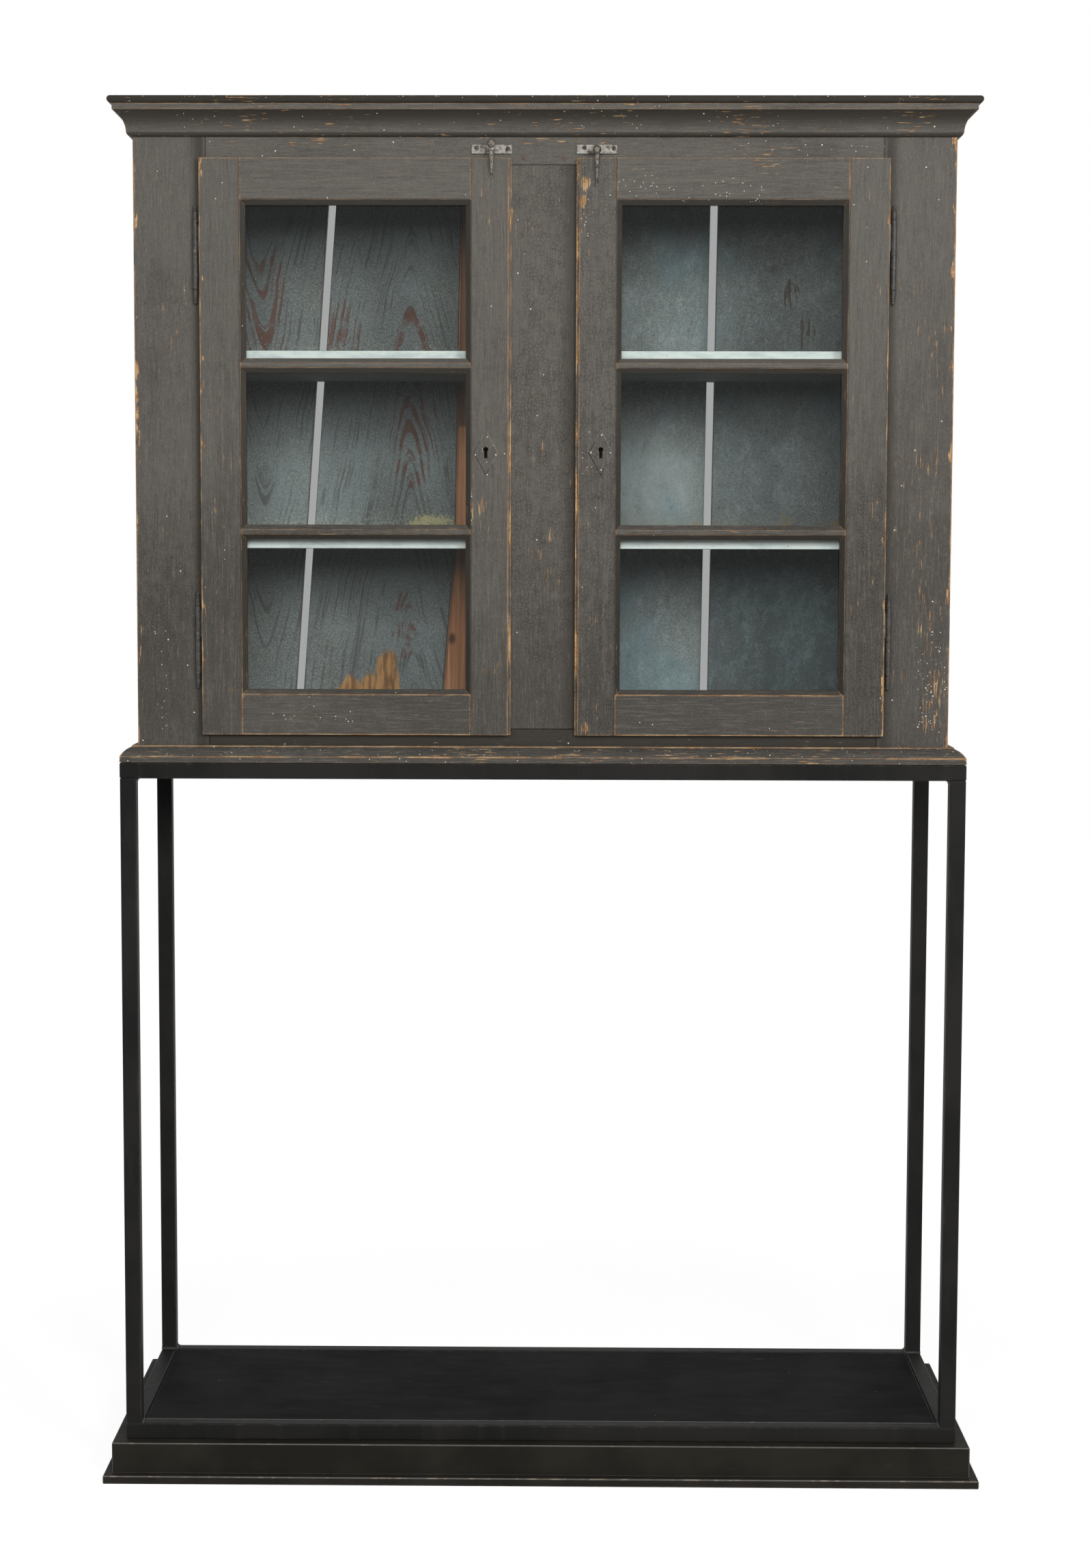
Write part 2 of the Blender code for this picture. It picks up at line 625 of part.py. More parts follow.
def build_mouldings():
    """The base moulding's ovolo, and the cornice's bead, cove, fascia and rounded nose."""
    lip = MOULDING_HEIGHT - MOULDING_LIP
    ovolo = bowed((MOULDING_PROJECTION, MOULDING_FILLET), (MOULDING_LEDGE, lip), MOULDING_BOW, 6)
    base = [(SEAT, 0.0), (MOULDING_PROJECTION, 0.0), *ovolo]
    base += [(MOULDING_LEDGE, MOULDING_HEIGHT), (SEAT, MOULDING_HEIGHT)]
    mitred_moulding("base_moulding", base, CASE_LOW)

    nose_low = CORNICE_HEIGHT - 2 * NOSE_RADIUS
    fascia_low = nose_low - FASCIA_HEIGHT
    quarter = arc((0.0, 0.0), 1.0, -90, 0, 4)
    bead = [(SEAT + x * (BEAD_PROJECTION - SEAT), (1 + z) * BEAD_HEIGHT) for x, z in quarter]
    cove = bowed(bead[-1], (FASCIA_PROJECTION - COVE_QUIRK, fascia_low), -COVE_BOW, 8)
    nose = arc((CORNICE_PROJECTION - NOSE_RADIUS, CORNICE_HEIGHT - NOSE_RADIUS), NOSE_RADIUS, -90, 90, 8)
    cornice = [*bead, *cove[1:], (FASCIA_PROJECTION, fascia_low), (FASCIA_PROJECTION, nose_low), *nose]
    cornice.append((SEAT, CORNICE_HEIGHT))
    mitred_moulding("cornice", cornice, CASE_TOP + CORNICE_RISE - CORNICE_HEIGHT)


def pane_levels():
    """Where the chamfers round each pane begin on the face, from the lowest pane up."""
    low, high = DOOR_LOW + DOOR_RAIL, DOOR_TOP - DOOR_RAIL
    height = (high - low - (PANES - 1) * BAR_FLAT) / PANES
    return [(low + i * (height + BAR_FLAT), low + i * (height + BAR_FLAT) + height) for i in range(PANES)]


# The shoulders stand half a gap off each face line, and so do the mitres where the chamfers meet.
SHOULDER = SEAT / 2
MITRE = SHOULDER * math.sqrt(2)
MITRE_ROOT = MITRE - SHOULDER


def stile_outline(edge, face, inward):
    """A stile from its outer edge to its face line, with the chamfered strips beside the panes."""
    sight = face + inward * SIGHT_CHAMFER
    face -= inward * SHOULDER
    points = [(edge, DOOR_LOW), (face, DOOR_LOW)]
    for low, high in pane_levels():
        points += [(face, low + MITRE_ROOT), (sight, low + SIGHT_CHAMFER + MITRE)]
        points += [(sight, high - SIGHT_CHAMFER - MITRE), (face, high - MITRE_ROOT)]
    return [*points, (face, DOOR_TOP), (edge, DOOR_TOP)]


def cross_outline(low, high):
    """A rail or bar between the stiles, with a mitred chamfer on each side that faces a pane."""
    x0, x1 = LOCK_FACE + SHOULDER, HINGE_FACE - SHOULDER
    sight0, sight1 = LOCK_FACE + SIGHT_CHAMFER + MITRE, HINGE_FACE - SIGHT_CHAMFER - MITRE
    foot, head = [(x0, low), (x1, low)], [(x1, high), (x0, high)]
    if low > DOOR_LOW:
        drop = low - SIGHT_CHAMFER
        foot = [(x0, low + MITRE_ROOT), (sight0, drop), (sight1, drop), (x1, low + MITRE_ROOT)]
    if high < DOOR_TOP:
        rise = high + SIGHT_CHAMFER
        head = [(x1, high - MITRE_ROOT), (sight1, rise), (sight0, rise), (x0, high - MITRE_ROOT)]
    return foot + head


def pane_chamfer(name, side, low, high):
    """The sloping cut round one pane, from the face down past the sight line."""
    shape = bmesh.new()
    bmesh.ops.create_cube(shape, size=2.0)
    half_width, half_height = (HINGE_FACE - LOCK_FACE) / 2, (high - low) / 2
    for vert in shape.verts:
        depth = -OVERCUT if vert.co.y < 0 else CHAMFER_DEPTH + OVERCUT / 4
        inset = depth * SIGHT_CHAMFER / CHAMFER_DEPTH
        vert.co = (vert.co.x * (half_width - inset), depth, vert.co.z * (half_height - inset))
    middle = (side * (LOCK_FACE + HINGE_FACE) / 2, DOOR_FRONT, (low + high) / 2)
    return add(name, to_mesh(shape, name), middle)


def glass_box(side, low, high, margin):
    """A pane's place: the sight opening and a margin round it."""
    inset = SIGHT_CHAMFER - margin
    x0, x1 = spread(side, LOCK_FACE + inset, HINGE_FACE - inset)
    return (x0, DOOR_FRONT + GLASS_SETBACK, low + inset), (x1, DOOR_BACK + OVERCUT, high - inset)


def keyhole_outline():
    """A round hole over a slot, about its own middle."""
    top = KEYHOLE_HEIGHT / 2 - KEYHOLE_RADIUS
    half = KEYHOLE_SLOT / 2
    turn = math.degrees(math.asin(half / KEYHOLE_RADIUS))
    outline = arc((0.0, top), KEYHOLE_RADIUS, -90 + turn, 270 - turn, 12)
    return [*outline, (-half, -KEYHOLE_HEIGHT / 2), (half, -KEYHOLE_HEIGHT / 2)]


def build_door(word, side):
    """A lipped door with mitred chamfers, its members tenoned, its panes in rebates open at the back."""
    axis = pivot(f"{word}_door_axis", (side * HINGE_X, HINGE_Y, DOOR_LOW))
    depth = (DOOR_FRONT, DOOR_BACK)
    y0 = DOOR_FRONT + TENON_SETBACK
    y1 = y0 + TENON_THICKNESS

    tongue_x = spread(side, DOOR_CLOSING + LIP_WIDTH, DOOR_HINGE - LIP_WIDTH)
    outside_x = spread(side, DOOR_CLOSING - OVERCUT, DOOR_HINGE + OVERCUT)
    outside = rectangle(*outside_x, DOOR_LOW - OVERCUT, DOOR_TOP + OVERCUT)
    inside = rectangle(*tongue_x, DOOR_LOW + LIP_WIDTH, DOOR_TOP - LIP_WIDTH)
    lip = upright_plate(f"{word}_lip_rebate", [outside, inside], TONGUE_FRONT, DOOR_BACK + OVERCUT)

    tools = [lip]
    panes = pane_levels()
    for number, (low, high) in enumerate(panes, 1):
        tools.append(pane_chamfer(f"{word}_chamfer_{number}", side, low, high))
        tools.append(block(f"{word}_glass_rebate_{number}", *glass_box(side, low, high, GLASS_REBATE)))
        (x0, y, z0), (x1, _, z1) = glass_box(side, low, high, GLASS_REBATE - GLASS_CLEARANCE)
        y += SEAT
        block(f"{word}_pane_{number}", (x0, y, z0), (x1, y + GLASS_THICKNESS, z1), GLASS, axis)

    foot, head = panes[0][0], panes[-1][1]
    members = {
        "bottom_rail": (DOOR_LOW, foot, DOOR_LOW + RAIL_TENON_SHOULDER, foot - RAIL_TENON_HAUNCH),
        "top_rail": (head, DOOR_TOP, head + RAIL_TENON_HAUNCH, DOOR_TOP - RAIL_TENON_SHOULDER),
    }
    for number, (below, above) in enumerate(zip(panes, panes[1:]), 1):
        middle = (below[1] + above[0]) / 2
        tenon = (middle - BAR_TENON_HEIGHT / 2, middle + BAR_TENON_HEIGHT / 2)
        members[f"bar_{number}"] = (below[1], above[0], *tenon)
    mortises = []
    for name, (low, high, z0, z1) in members.items():
        outline = mirrored(side, cross_outline(low, high))
        member = upright_plate(f"{word}_door_{name}", [outline], *depth, GREY_PAINT, axis)
        length = BAR_TENON_LENGTH if name.startswith("bar") else RAIL_TENON_LENGTH
        x0, x1 = spread(side, LOCK_FACE - length, HINGE_FACE + length)
        join(member, block(f"{word}_{name}_tenons", (x0, y0, z0), (x1, y1, z1)))
        cut(member, *tools)
        mortises.append(block(f"{word}_{name}_mortises", *grown((x0, y0, z0), (x1, y1, z1), SEAT)))

    outline = mirrored(side, stile_outline(DOOR_HINGE, HINGE_FACE, -1))
    stile = upright_plate(f"{word}_door_hinge_stile", [outline], *depth, GREY_PAINT, axis)
    cut(stile, *tools, *mortises, *leaf_mortises(side, word, "door"))

    outline = mirrored(side, stile_outline(DOOR_CLOSING, LOCK_FACE, 1))
    stile = upright_plate(f"{word}_door_lock_stile", [outline], *depth, GREY_PAINT, axis)
    x0, x1 = spread(side, DOOR_CLOSING - OVERCUT, DOOR_CLOSING + CLOSING_STEP)
    low = (x0, DOOR_FRONT - OVERCUT, DOOR_LOW - OVERCUT)
    high = (x1, DOOR_FRONT + CLOSING_STEP_DEPTH, DOOR_TOP + OVERCUT)
    cut(stile, *tools, *mortises, block(f"{word}_closing_step", low, high))

    key_x = side * KEY_X
    half_width, half_height = ESCUTCHEON_WIDTH / 2, ESCUTCHEON_HEIGHT / 2
    lozenge = [(key_x - half_width, KEY_LEVEL), (key_x, KEY_LEVEL - half_height)]
    lozenge += [(key_x + half_width, KEY_LEVEL), (key_x, KEY_LEVEL + half_height)]
    face = DOOR_FRONT - ESCUTCHEON_THICKNESS
    join(stile, upright_plate(f"{word}_escutcheon", [lozenge], face, DOOR_FRONT + OVERCUT / 2))
    outline = [(key_x + x, KEY_LEVEL + z) for x, z in keyhole_outline()]
    keyhole = upright_plate(f"{word}_keyhole", [outline], face - OVERCUT, LOCK_FRONT + KEYHOLE_DEPTH)
    cut(stile, keyhole)

    x0, x1 = spread(side, LOCK_EDGE, LOCK_EDGE + LOCK_WIDTH)
    low = (x0, LOCK_FRONT, KEY_LEVEL - LOCK_BELOW_KEY)
    high = (x1, LOCK_FRONT + LOCK_THICKNESS, KEY_LEVEL + LOCK_ABOVE_KEY)
    case = block(f"{word}_lock_case", low, high, LOCK_IRON, axis)
    low, high = bolt_box(side)
    bolt = block(f"{word}_lock_bolt", low, high, LOCK_IRON, axis)
    notch_low = (key_x - BOLT_NOTCH / 2, low[1] - OVERCUT, low[2] - OVERCUT)
    notch_high = (key_x + BOLT_NOTCH / 2, high[1] + OVERCUT, low[2] + OVERCUT)
    cut(bolt, block(f"{word}_bolt_notch", notch_low, notch_high))
    x0, x1 = spread(side, LOCK_EDGE - OVERCUT, LOCK_EDGE + SEAT + BOLT_LENGTH)
    slot = grown((x0, *low[1:]), (x1, *high[1:]), SEAT)
    cut(case, keyhole, block(f"{word}_bolt_slot", *slot))
    return axis


def finial(direction):
    """The turned end of a hinge barrel, out from the barrel: a ring, a drum, a thin ring and a button."""
    shape = (
        (1.00, 0.00),
        (0.74, 0.02),
        (0.74, 0.06),
        (0.90, 0.10),
        (0.90, 0.19),
        (0.80, 0.22),
        (0.80, 0.54),
        (0.58, 0.59),
        (0.76, 0.65),
        (0.74, 0.71),
        (0.48, 0.75),
        (0.62, 0.82),
        (0.58, 0.92),
        (0.34, 0.99),
        (0.00, 1.00),
    )
    end = BARREL_LENGTH / 2
    return [(radius * BARREL_RADIUS, direction * (end + part * FINIAL_LENGTH)) for radius, part in shape]


def build_hinges(word, side, axis):
    """Two lift-off hinges: a fixed half with the pin, and a bored half on the door."""
    gap = SEAT / 2
    bore = HINGE_PIN_RADIUS + SEAT
    pin = [(0.0, HINGE_PIN_LENGTH), (HINGE_PIN_RADIUS, HINGE_PIN_LENGTH), (HINGE_PIN_RADIUS, -gap)]
    fixed = [*pin, (BARREL_RADIUS, -gap), *finial(-1)]
    lifting = [*reversed(finial(1)), (BARREL_RADIUS, gap), (bore, gap)]
    lifting += [(bore, HINGE_PIN_LENGTH + SEAT), (0.0, HINGE_PIN_LENGTH + SEAT)]
    for place, level in HINGE_LEVELS.items():
        spot = (side * HINGE_X, HINGE_Y, level)
        for where, profile, parent in (("frame", fixed, None), ("door", lifting, axis)):
            barrel = turned(f"{word}_{place}_hinge_{where}_half", profile, spot, PAINTED_IRON, parent)
            join(barrel, block(f"{word}_{place}_{where}_leaf", *leaf_box(side, level, where)))


def build_latch(word, side, length, drop, rise):
    """A turn latch: a plate with a stud on the frame, and a knobbed finger that turns on the stud."""
    x, level = side * LATCH_X, LATCH_LEVEL
    half_width, half_height = LATCH_PLATE_WIDTH / 2, LATCH_PLATE_HEIGHT / 2
    low = (x - half_width, LATCH_FRONT, level - half_height)
    high = (x + half_width, CASE_FRONT - SEAT, level + half_height)
    plate = block(f"{word}_latch_plate", low, high, BARE_STEEL, edge=BOARD_EDGE / 2)
    level -= drop
    stem_back = LATCH_FRONT + LATCH_PLATE_THICKNESS / 2
    stud_front = HUB_BACK - LATCH_STUD_LENGTH
    stem = rod(f"{word}_latch_stem", x, level, HUB_BACK + SEAT, stem_back, LATCH_STEM_RADIUS)
    stud = rod(f"{word}_latch_stud", x, level, stud_front, LATCH_FRONT, LATCH_STUD_RADIUS)
    join(plate, stem, stud)

    axis = pivot(f"{word}_latch_axis", (x, HUB_BACK, level))
    knob_y = HUB_BACK - HUB_LENGTH - KNOB_RADIUS / 3
    shape = bmesh.new()
    bmesh.ops.create_uvsphere(
        shape, u_segments=TURNED_STEPS, v_segments=TURNED_STEPS // 2, radius=KNOB_RADIUS
    )
    finger = add(f"{word}_latch_finger", to_mesh(shape, "knob"), (x, knob_y, level + rise), BARE_STEEL, axis)

    root_y = HUB_BACK - FINGER_ROOT_RADIUS - FINGER_SET
    tip_y = HUB_BACK - FINGER_TIP_RADIUS
    path = (
        (0.00, root_y, FINGER_ROOT_RADIUS),
        (0.25, root_y, FINGER_ROOT_RADIUS),
        (0.60, (2 * root_y + tip_y) / 3, (FINGER_ROOT_RADIUS + FINGER_TIP_RADIUS) / 2),
        (0.95, tip_y, FINGER_TIP_RADIUS),
        (1.00, tip_y, FINGER_TIP_RADIUS / 2),
    )
    curve = bpy.data.curves.new(f"{word}_finger", "CURVE")
    curve.dimensions = "3D"
    curve.bevel_depth = 1.0
    curve.bevel_resolution = 3
    curve.use_fill_caps = True
    spline = curve.splines.new("POLY")
    spline.points.add(len(path) - 1)
    for point, (part, y, radius) in zip(spline.points, path):
        point.co = (0.0, y, -part * length, 1.0)
        point.radius = radius
    mesh = to_mesh(curve_shape(f"{word}_finger", curve), f"{word}_finger")
    hub = rod(f"{word}_latch_hub", x, level, knob_y, HUB_BACK, HUB_RADIUS)
    bore_radius = LATCH_STUD_RADIUS + SEAT
    bore = rod(f"{word}_latch_bore", x, level, stud_front - SEAT, HUB_BACK + OVERCUT, bore_radius)
    join(finger, hub, add(f"{word}_latch_arm", mesh, (x, 0.0, level)))
    cut(finger, bore)


build_stand()
build_carcass()
build_back()
build_face_frame()
build_mouldings()
for door_word, door_side in SIDES.items():
    door_axis = build_door(door_word, door_side)
    build_hinges(door_word, door_side, door_axis)
build_latch("left", -1, LEFT_FINGER_LENGTH, LEFT_STUD_DROP, LEFT_KNOB_RISE)
build_latch("right", 1, RIGHT_FINGER_LENGTH, RIGHT_STUD_DROP, RIGHT_KNOB_RISE)
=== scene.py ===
import math

import bmesh
import bpy
from mathutils import Matrix, Vector


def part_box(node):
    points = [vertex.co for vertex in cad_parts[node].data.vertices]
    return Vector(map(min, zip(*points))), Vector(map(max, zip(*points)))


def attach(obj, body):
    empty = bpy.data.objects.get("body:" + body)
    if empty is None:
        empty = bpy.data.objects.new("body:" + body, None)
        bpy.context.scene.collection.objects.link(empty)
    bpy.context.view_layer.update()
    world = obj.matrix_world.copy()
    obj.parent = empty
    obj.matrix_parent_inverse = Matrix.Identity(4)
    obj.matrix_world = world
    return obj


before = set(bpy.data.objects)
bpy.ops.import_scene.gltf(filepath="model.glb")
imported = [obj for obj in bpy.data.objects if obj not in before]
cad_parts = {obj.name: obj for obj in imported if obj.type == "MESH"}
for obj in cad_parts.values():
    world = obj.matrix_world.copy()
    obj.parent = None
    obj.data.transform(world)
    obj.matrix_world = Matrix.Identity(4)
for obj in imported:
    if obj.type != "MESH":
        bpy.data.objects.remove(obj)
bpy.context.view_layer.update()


# The base board, the plinth on it and the low panel in the stand are sawn boards with a satin black paint.
# They lie flat on one another, and their arrises are rubbed to a thin grey line with small chips, a line
# that is also a painted highlight.
class Tone:
    """One socket of a finish. Sums written with tones add Math nodes."""

    def __init__(self, tree, socket=None):
        self.tree = tree
        self.socket = socket

    def node(self, kind, settings, sockets, out=0):
        made = self.tree.nodes.new("ShaderNode" + kind)
        for name, value in settings.items():
            setattr(made, name, value)
        for name, value in sockets.items():
            if isinstance(value, Tone):
                self.tree.links.new(value.socket, made.inputs[name])
            else:
                made.inputs[name].default_value = value
        return Tone(self.tree, made.outputs[out] if made.outputs else None)

    def also(self, out):
        return Tone(self.tree, self.socket.node.outputs[out])

    def sum(self, operation, *values):
        return self.node("Math", {"operation": operation}, dict(enumerate(values)))

    def __add__(self, other):
        return self.sum("ADD", self, other)

    def __radd__(self, other):
        return self.sum("ADD", other, self)

    def __sub__(self, other):
        return self.sum("SUBTRACT", self, other)

    def __rsub__(self, other):
        return self.sum("SUBTRACT", other, self)

    def __mul__(self, other):
        return self.sum("MULTIPLY", self, other)

    def __rmul__(self, other):
        return self.sum("MULTIPLY", other, self)

    def __lt__(self, other):
        return self.sum("LESS_THAN", self, other)

    def __gt__(self, other):
        return self.sum("GREATER_THAN", self, other)

    def __or__(self, other):
        return self.sum("MAXIMUM", self, other)

    def __abs__(self):
        return self.sum("ABSOLUTE", self)


def begin(name):
    """A new finish and the place on the piece that its patterns read."""
    finish = bpy.data.materials.new(name)
    finish.use_nodes = True
    finish.node_tree.nodes.clear()
    return finish, Tone(finish.node_tree).node("TexCoord", {}, {}, "Object")


def end(finish, place, sockets, height, relief):
    """Closes a finish with its shader. relief is the depth in metres of a height of 1."""
    eased = place.node("Bevel", {"samples": 4}, {"Radius": 0.0012})
    bump = {"Strength": 1.0, "Distance": relief, "Height": height, "Normal": eased}
    shader = place.node("BsdfPrincipled", {}, {**sockets, "Normal": place.node("Bump", {}, bump)})
    place.node("OutputMaterial", {}, {"Surface": shader})
    return finish


def dress(finish, *names):
    for name in names:
        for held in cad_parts[name].material_slots:
            held.material = finish


def colour(red, green, blue):
    return (red, green, blue, 1.0)


def scaled(place, factors):
    return place.node("VectorMath", {"operation": "MULTIPLY"}, {0: place, 1: factors})


def mottle(place, scale, detail=3.0, roughness=0.55):
    return place.node(
        "TexNoise", {}, {"Vector": place, "Scale": scale, "Detail": detail, "Roughness": roughness}
    )


def fade(value, low, high):
    """0 below low, 1 above high and smooth between."""
    return value.node("MapRange", {"interpolation_type": "SMOOTHSTEP"}, {0: value, 1: low, 2: high})


def blend(share, first, second):
    return share.node("Mix", {"data_type": "RGBA"}, {0: share, 6: first, 7: second}, 2)


def axis_of(place, axis):
    return place.node("SeparateXYZ", {}, {"Vector": place}, axis)


def arris(place, radius):
    """About 0.3 on a sharp edge, falling to 0 at the radius from it."""
    eased = place.node("Bevel", {"samples": 6}, {"Radius": radius})
    faced = place.node("NewGeometry", {}, {}, "Normal")
    return 1 - place.node("VectorMath", {"operation": "DOT_PRODUCT"}, {0: eased, 1: faced}, "Value")


def chamfer(place):
    """0 on faces square to the case, up to 0.4 on chamfers and rounded corners."""
    faced = place.node("NewGeometry", {}, {}, "Normal")
    width = axis_of(place.node("VectorMath", {"operation": "ABSOLUTE"}, {0: faced}), "X")
    return 1 - (width | width.also("Y") | width.also("Z"))


def specks(place, scale, size, share):
    """Small round marks, up to size cells across, in that share of the cells of a 1/scale grid."""
    cells = place.node("TexVoronoi", {}, {"Vector": place, "Scale": scale}, "Distance")
    chance = place.node("SeparateColor", {}, {"Color": cells.also("Color")}, "Red")
    extent = size * (0.4 + 0.6 * chance.also("Green"))
    return (cells < extent) * (chance < share)


def black_board(name, dark, light, chips, sheen):
    """Satin black between two depths of black. chips is how much of the arrises has broken away."""
    finish, place = begin(name)
    grain = mottle(scaled(place, (0.05, 1.0, 1.0)), 260.0, 4.0)
    cloud = mottle(place, 7.0, 4.0)
    scuff = mottle(scaled(place, (0.25, 1.0, 1.0)), 45.0, 5.0, 0.65)
    near = chamfer(place) + arris(place, 0.0025)
    rubbed = fade(near * 2.2 + 0.8 * scuff, 0.52, 0.95)
    chip = fade(near * 1.5 + mottle(place, 60.0, 4.0, 0.6), 1.06 - chips, 1.12 - chips)
    fleck = specks(place, 60.0, 0.05, 0.06)
    scratch = fade(mottle(scaled(place, (0.06, 1.0, 1.0)), 170.0, 3.0), 0.72, 0.76)
    paint = blend(fade(cloud, 0.35, 0.65), colour(*dark), colour(*light))
    # The grey line on the arrises is worn paint and also a painted highlight.
    paint = blend(rubbed * 0.75, paint, colour(0.16, 0.155, 0.15))
    paint = blend(scratch * 0.5, paint, colour(0.13, 0.12, 0.11))
    paint = blend(chip, paint, colour(0.30, 0.25, 0.195))
    paint = blend(fleck, paint, colour(0.50, 0.46, 0.42))
    sockets = {
        "Base Color": paint,
        "Roughness": 0.45 + 0.24 * scuff + 0.1 * grain,
        "Specular IOR Level": sheen,
    }
    return end(finish, place, sockets, 0.4 * grain + 0.3 * cloud - chip, 0.0003)


SATIN = 0.06
FLAT_BLACK = 0.012
base_black = black_board("base_board_paint", (0.020, 0.018, 0.015), (0.032, 0.029, 0.024), 0.06, SATIN)
plinth_black = black_board("plinth_paint", (0.017, 0.0155, 0.012), (0.027, 0.0245, 0.0195), -0.05, SATIN)
panel_black = black_board("panel_paint", (0.010, 0.0094, 0.0098), (0.019, 0.0178, 0.0185), 0.0, FLAT_BLACK)
dress(base_black, "base_board")
dress(plinth_black, "plinth")
dress(panel_black, "stand_panel")


# The stand is four legs and two frames of square steel tube, mitred, welded and sprayed satin black.
# The spray lies thin on the corners, where the steel shows as a soft grey line.
def black_steel():
    finish, place = begin("black_steel_spray")
    peel = mottle(place, 620.0, 2.0)
    cloud = mottle(place, 5.0, 4.0)
    dust = mottle(scaled(place, (1.0, 1.0, 0.2)), 60.0, 5.0, 0.65)
    near = chamfer(place) + arris(place, 0.003)
    rubbed = fade(near * 2.0 + 0.8 * dust, 0.55, 1.0)
    chip = specks(place, 55.0, 0.05, 0.06)
    paint = blend(fade(cloud, 0.35, 0.65), colour(0.0150, 0.0148, 0.0143), colour(0.0240, 0.0230, 0.0218))
    paint = blend(fade(dust, 0.52, 0.72) * 0.35, paint, colour(0.030, 0.029, 0.027))
    paint = blend(rubbed * 0.65, paint, colour(0.10, 0.099, 0.097))
    paint = blend(chip, paint, colour(0.26, 0.23, 0.19))
    sockets = {"Base Color": paint, "Roughness": 0.40 + 0.22 * dust, "Specular IOR Level": 0.04}
    return end(finish, place, sockets, 0.5 * peel + 0.2 * dust, 0.00012)


CORNERS = ("front_left", "front_right", "back_left", "back_right")
BLACK_STEEL = black_steel()
for corner_name in CORNERS:
    dress(BLACK_STEEL, corner_name + "_leg")
dress(BLACK_STEEL, "stand_top_frame", "stand_bottom_frame")


# Weld metal fills the inner corners where each leg meets the two frames.
# It is a concave run of bead across the tube, ground a little and sprayed with the rest.
WELD_RADIUS = {"top": 0.0065, "bottom": 0.0035}
SHARP_ANGLE = math.radians(35.0)


def keep(name, form, finish, body):
    """Makes a finished form one piece of the object, on its body and with its finish."""
    mesh = bpy.data.meshes.new(name)
    form.normal_update()
    form.to_mesh(mesh)
    form.free()
    mesh.shade_smooth()
    mesh.set_sharp_from_angle(angle=SHARP_ANGLE)
    made = bpy.data.objects.new(name, mesh)
    bpy.context.scene.collection.objects.link(made)
    mesh.materials.append(finish)
    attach(made, body)


def points(parts):
    return [part for part in parts if isinstance(part, bmesh.types.BMVert)]


def weld_bead(form, corner, away, level, run, radius):
    """One bead in a corner. away and level point from it along the tube and the leg, and run goes
    across the tube."""
    before = set(form.verts)
    start = form.verts.new(corner + away * radius)
    centre = corner + (away + level) * radius
    bmesh.ops.spin(form, geom=[start], cent=centre, axis=away.cross(level), angle=-math.pi / 2, steps=6)
    arc = sorted(set(form.verts) - before, key=lambda vert: (vert.co - corner).dot(level))
    face = form.faces.new(arc + [form.verts.new(corner)])
    pulled = bmesh.ops.extrude_face_region(form, geom=[face], use_keep_orig=True)["geom"]
    bmesh.ops.translate(form, verts=points(pulled), vec=run)


for end_name, level_sign in (("top", -1), ("bottom", 1)):
    beads = bmesh.new()
    ring_low, ring_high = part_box(f"stand_{end_name}_frame")
    seat_level = ring_low.z if end_name == "top" else ring_high.z
    for corner_name in CORNERS:
        leg_low, leg_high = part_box(corner_name + "_leg")
        in_x = 1 if "left" in corner_name else -1
        in_y = 1 if "front" in corner_name else -1
        inner_x = leg_high.x if in_x > 0 else leg_low.x
        inner_y = leg_high.y if in_y > 0 else leg_low.y
        outer_x = leg_low.x + leg_high.x - inner_x
        outer_y = leg_low.y + leg_high.y - inner_y
        seat = Vector((inner_x, inner_y, seat_level))
        up = Vector((0, 0, level_sign))
        radius = WELD_RADIUS[end_name]
        weld_bead(beads, seat, Vector((in_x, 0, 0)), up, Vector((0, outer_y - inner_y, 0)), radius)
        weld_bead(beads, seat, Vector((0, in_y, 0)), up, Vector((outer_x - inner_x, 0, 0)), radius)
    bmesh.ops.recalc_face_normals(beads, faces=beads.faces)
    keep(f"{end_name}_frame_welds", beads, BLACK_STEEL, "case")


# The case sides and top are wide pine boards, painted grey outside and blue grey inside.
# The grey paint has crazed, and it is rubbed through to orange pine along the arrises.
GREY_DARK = colour(0.054, 0.050, 0.044)
GREY_LIGHT = colour(0.106, 0.098, 0.087)
GREY_PIT = colour(0.030, 0.026, 0.021)
PINE_DARK = colour(0.36, 0.165, 0.058)
PINE_LIGHT = colour(0.64, 0.42, 0.21)
PAINT_SHEEN = 0.3
PAINT_RELIEF = 0.0005
UP_THE_BOARD = (1.0, 1.0, 0.045)
ALONG_THE_BOARD = (0.045, 1.0, 1.0)
ROUND_THE_CASE = (0.045, 0.045, 1.0)


def warped(place, scale, reach):
    """The place, pushed about by up to reach metres."""
    push = mottle(place, scale, 2.0).also(1)
    push = place.node("VectorMath", {"operation": "SUBTRACT"}, {0: push, 1: (0.5, 0.5, 0.5)})
    return place.node("VectorMath", {"operation": "MULTIPLY_ADD"}, {0: push, 1: (reach,) * 3, 2: place})


def spot(place, x, z, wide, high):
    """1 in the middle of an upright oval on the front, 0 outside it."""
    away = place.node("VectorMath", {"operation": "SUBTRACT"}, {0: place, 1: (x, 0.0, z)})
    away = scaled(away, (1.0 / wide, 0.0, 1.0 / high))
    return 1 - fade(place.node("VectorMath", {"operation": "LENGTH"}, {0: away}, "Value"), 0.25, 1.0)


def drawn_out(place, run, squeeze):
    """The place, squeezed along the run, so that patterns are drawn out that way."""
    return scaled(place, tuple(squeeze if part < 1 else 1.0 for part in run))


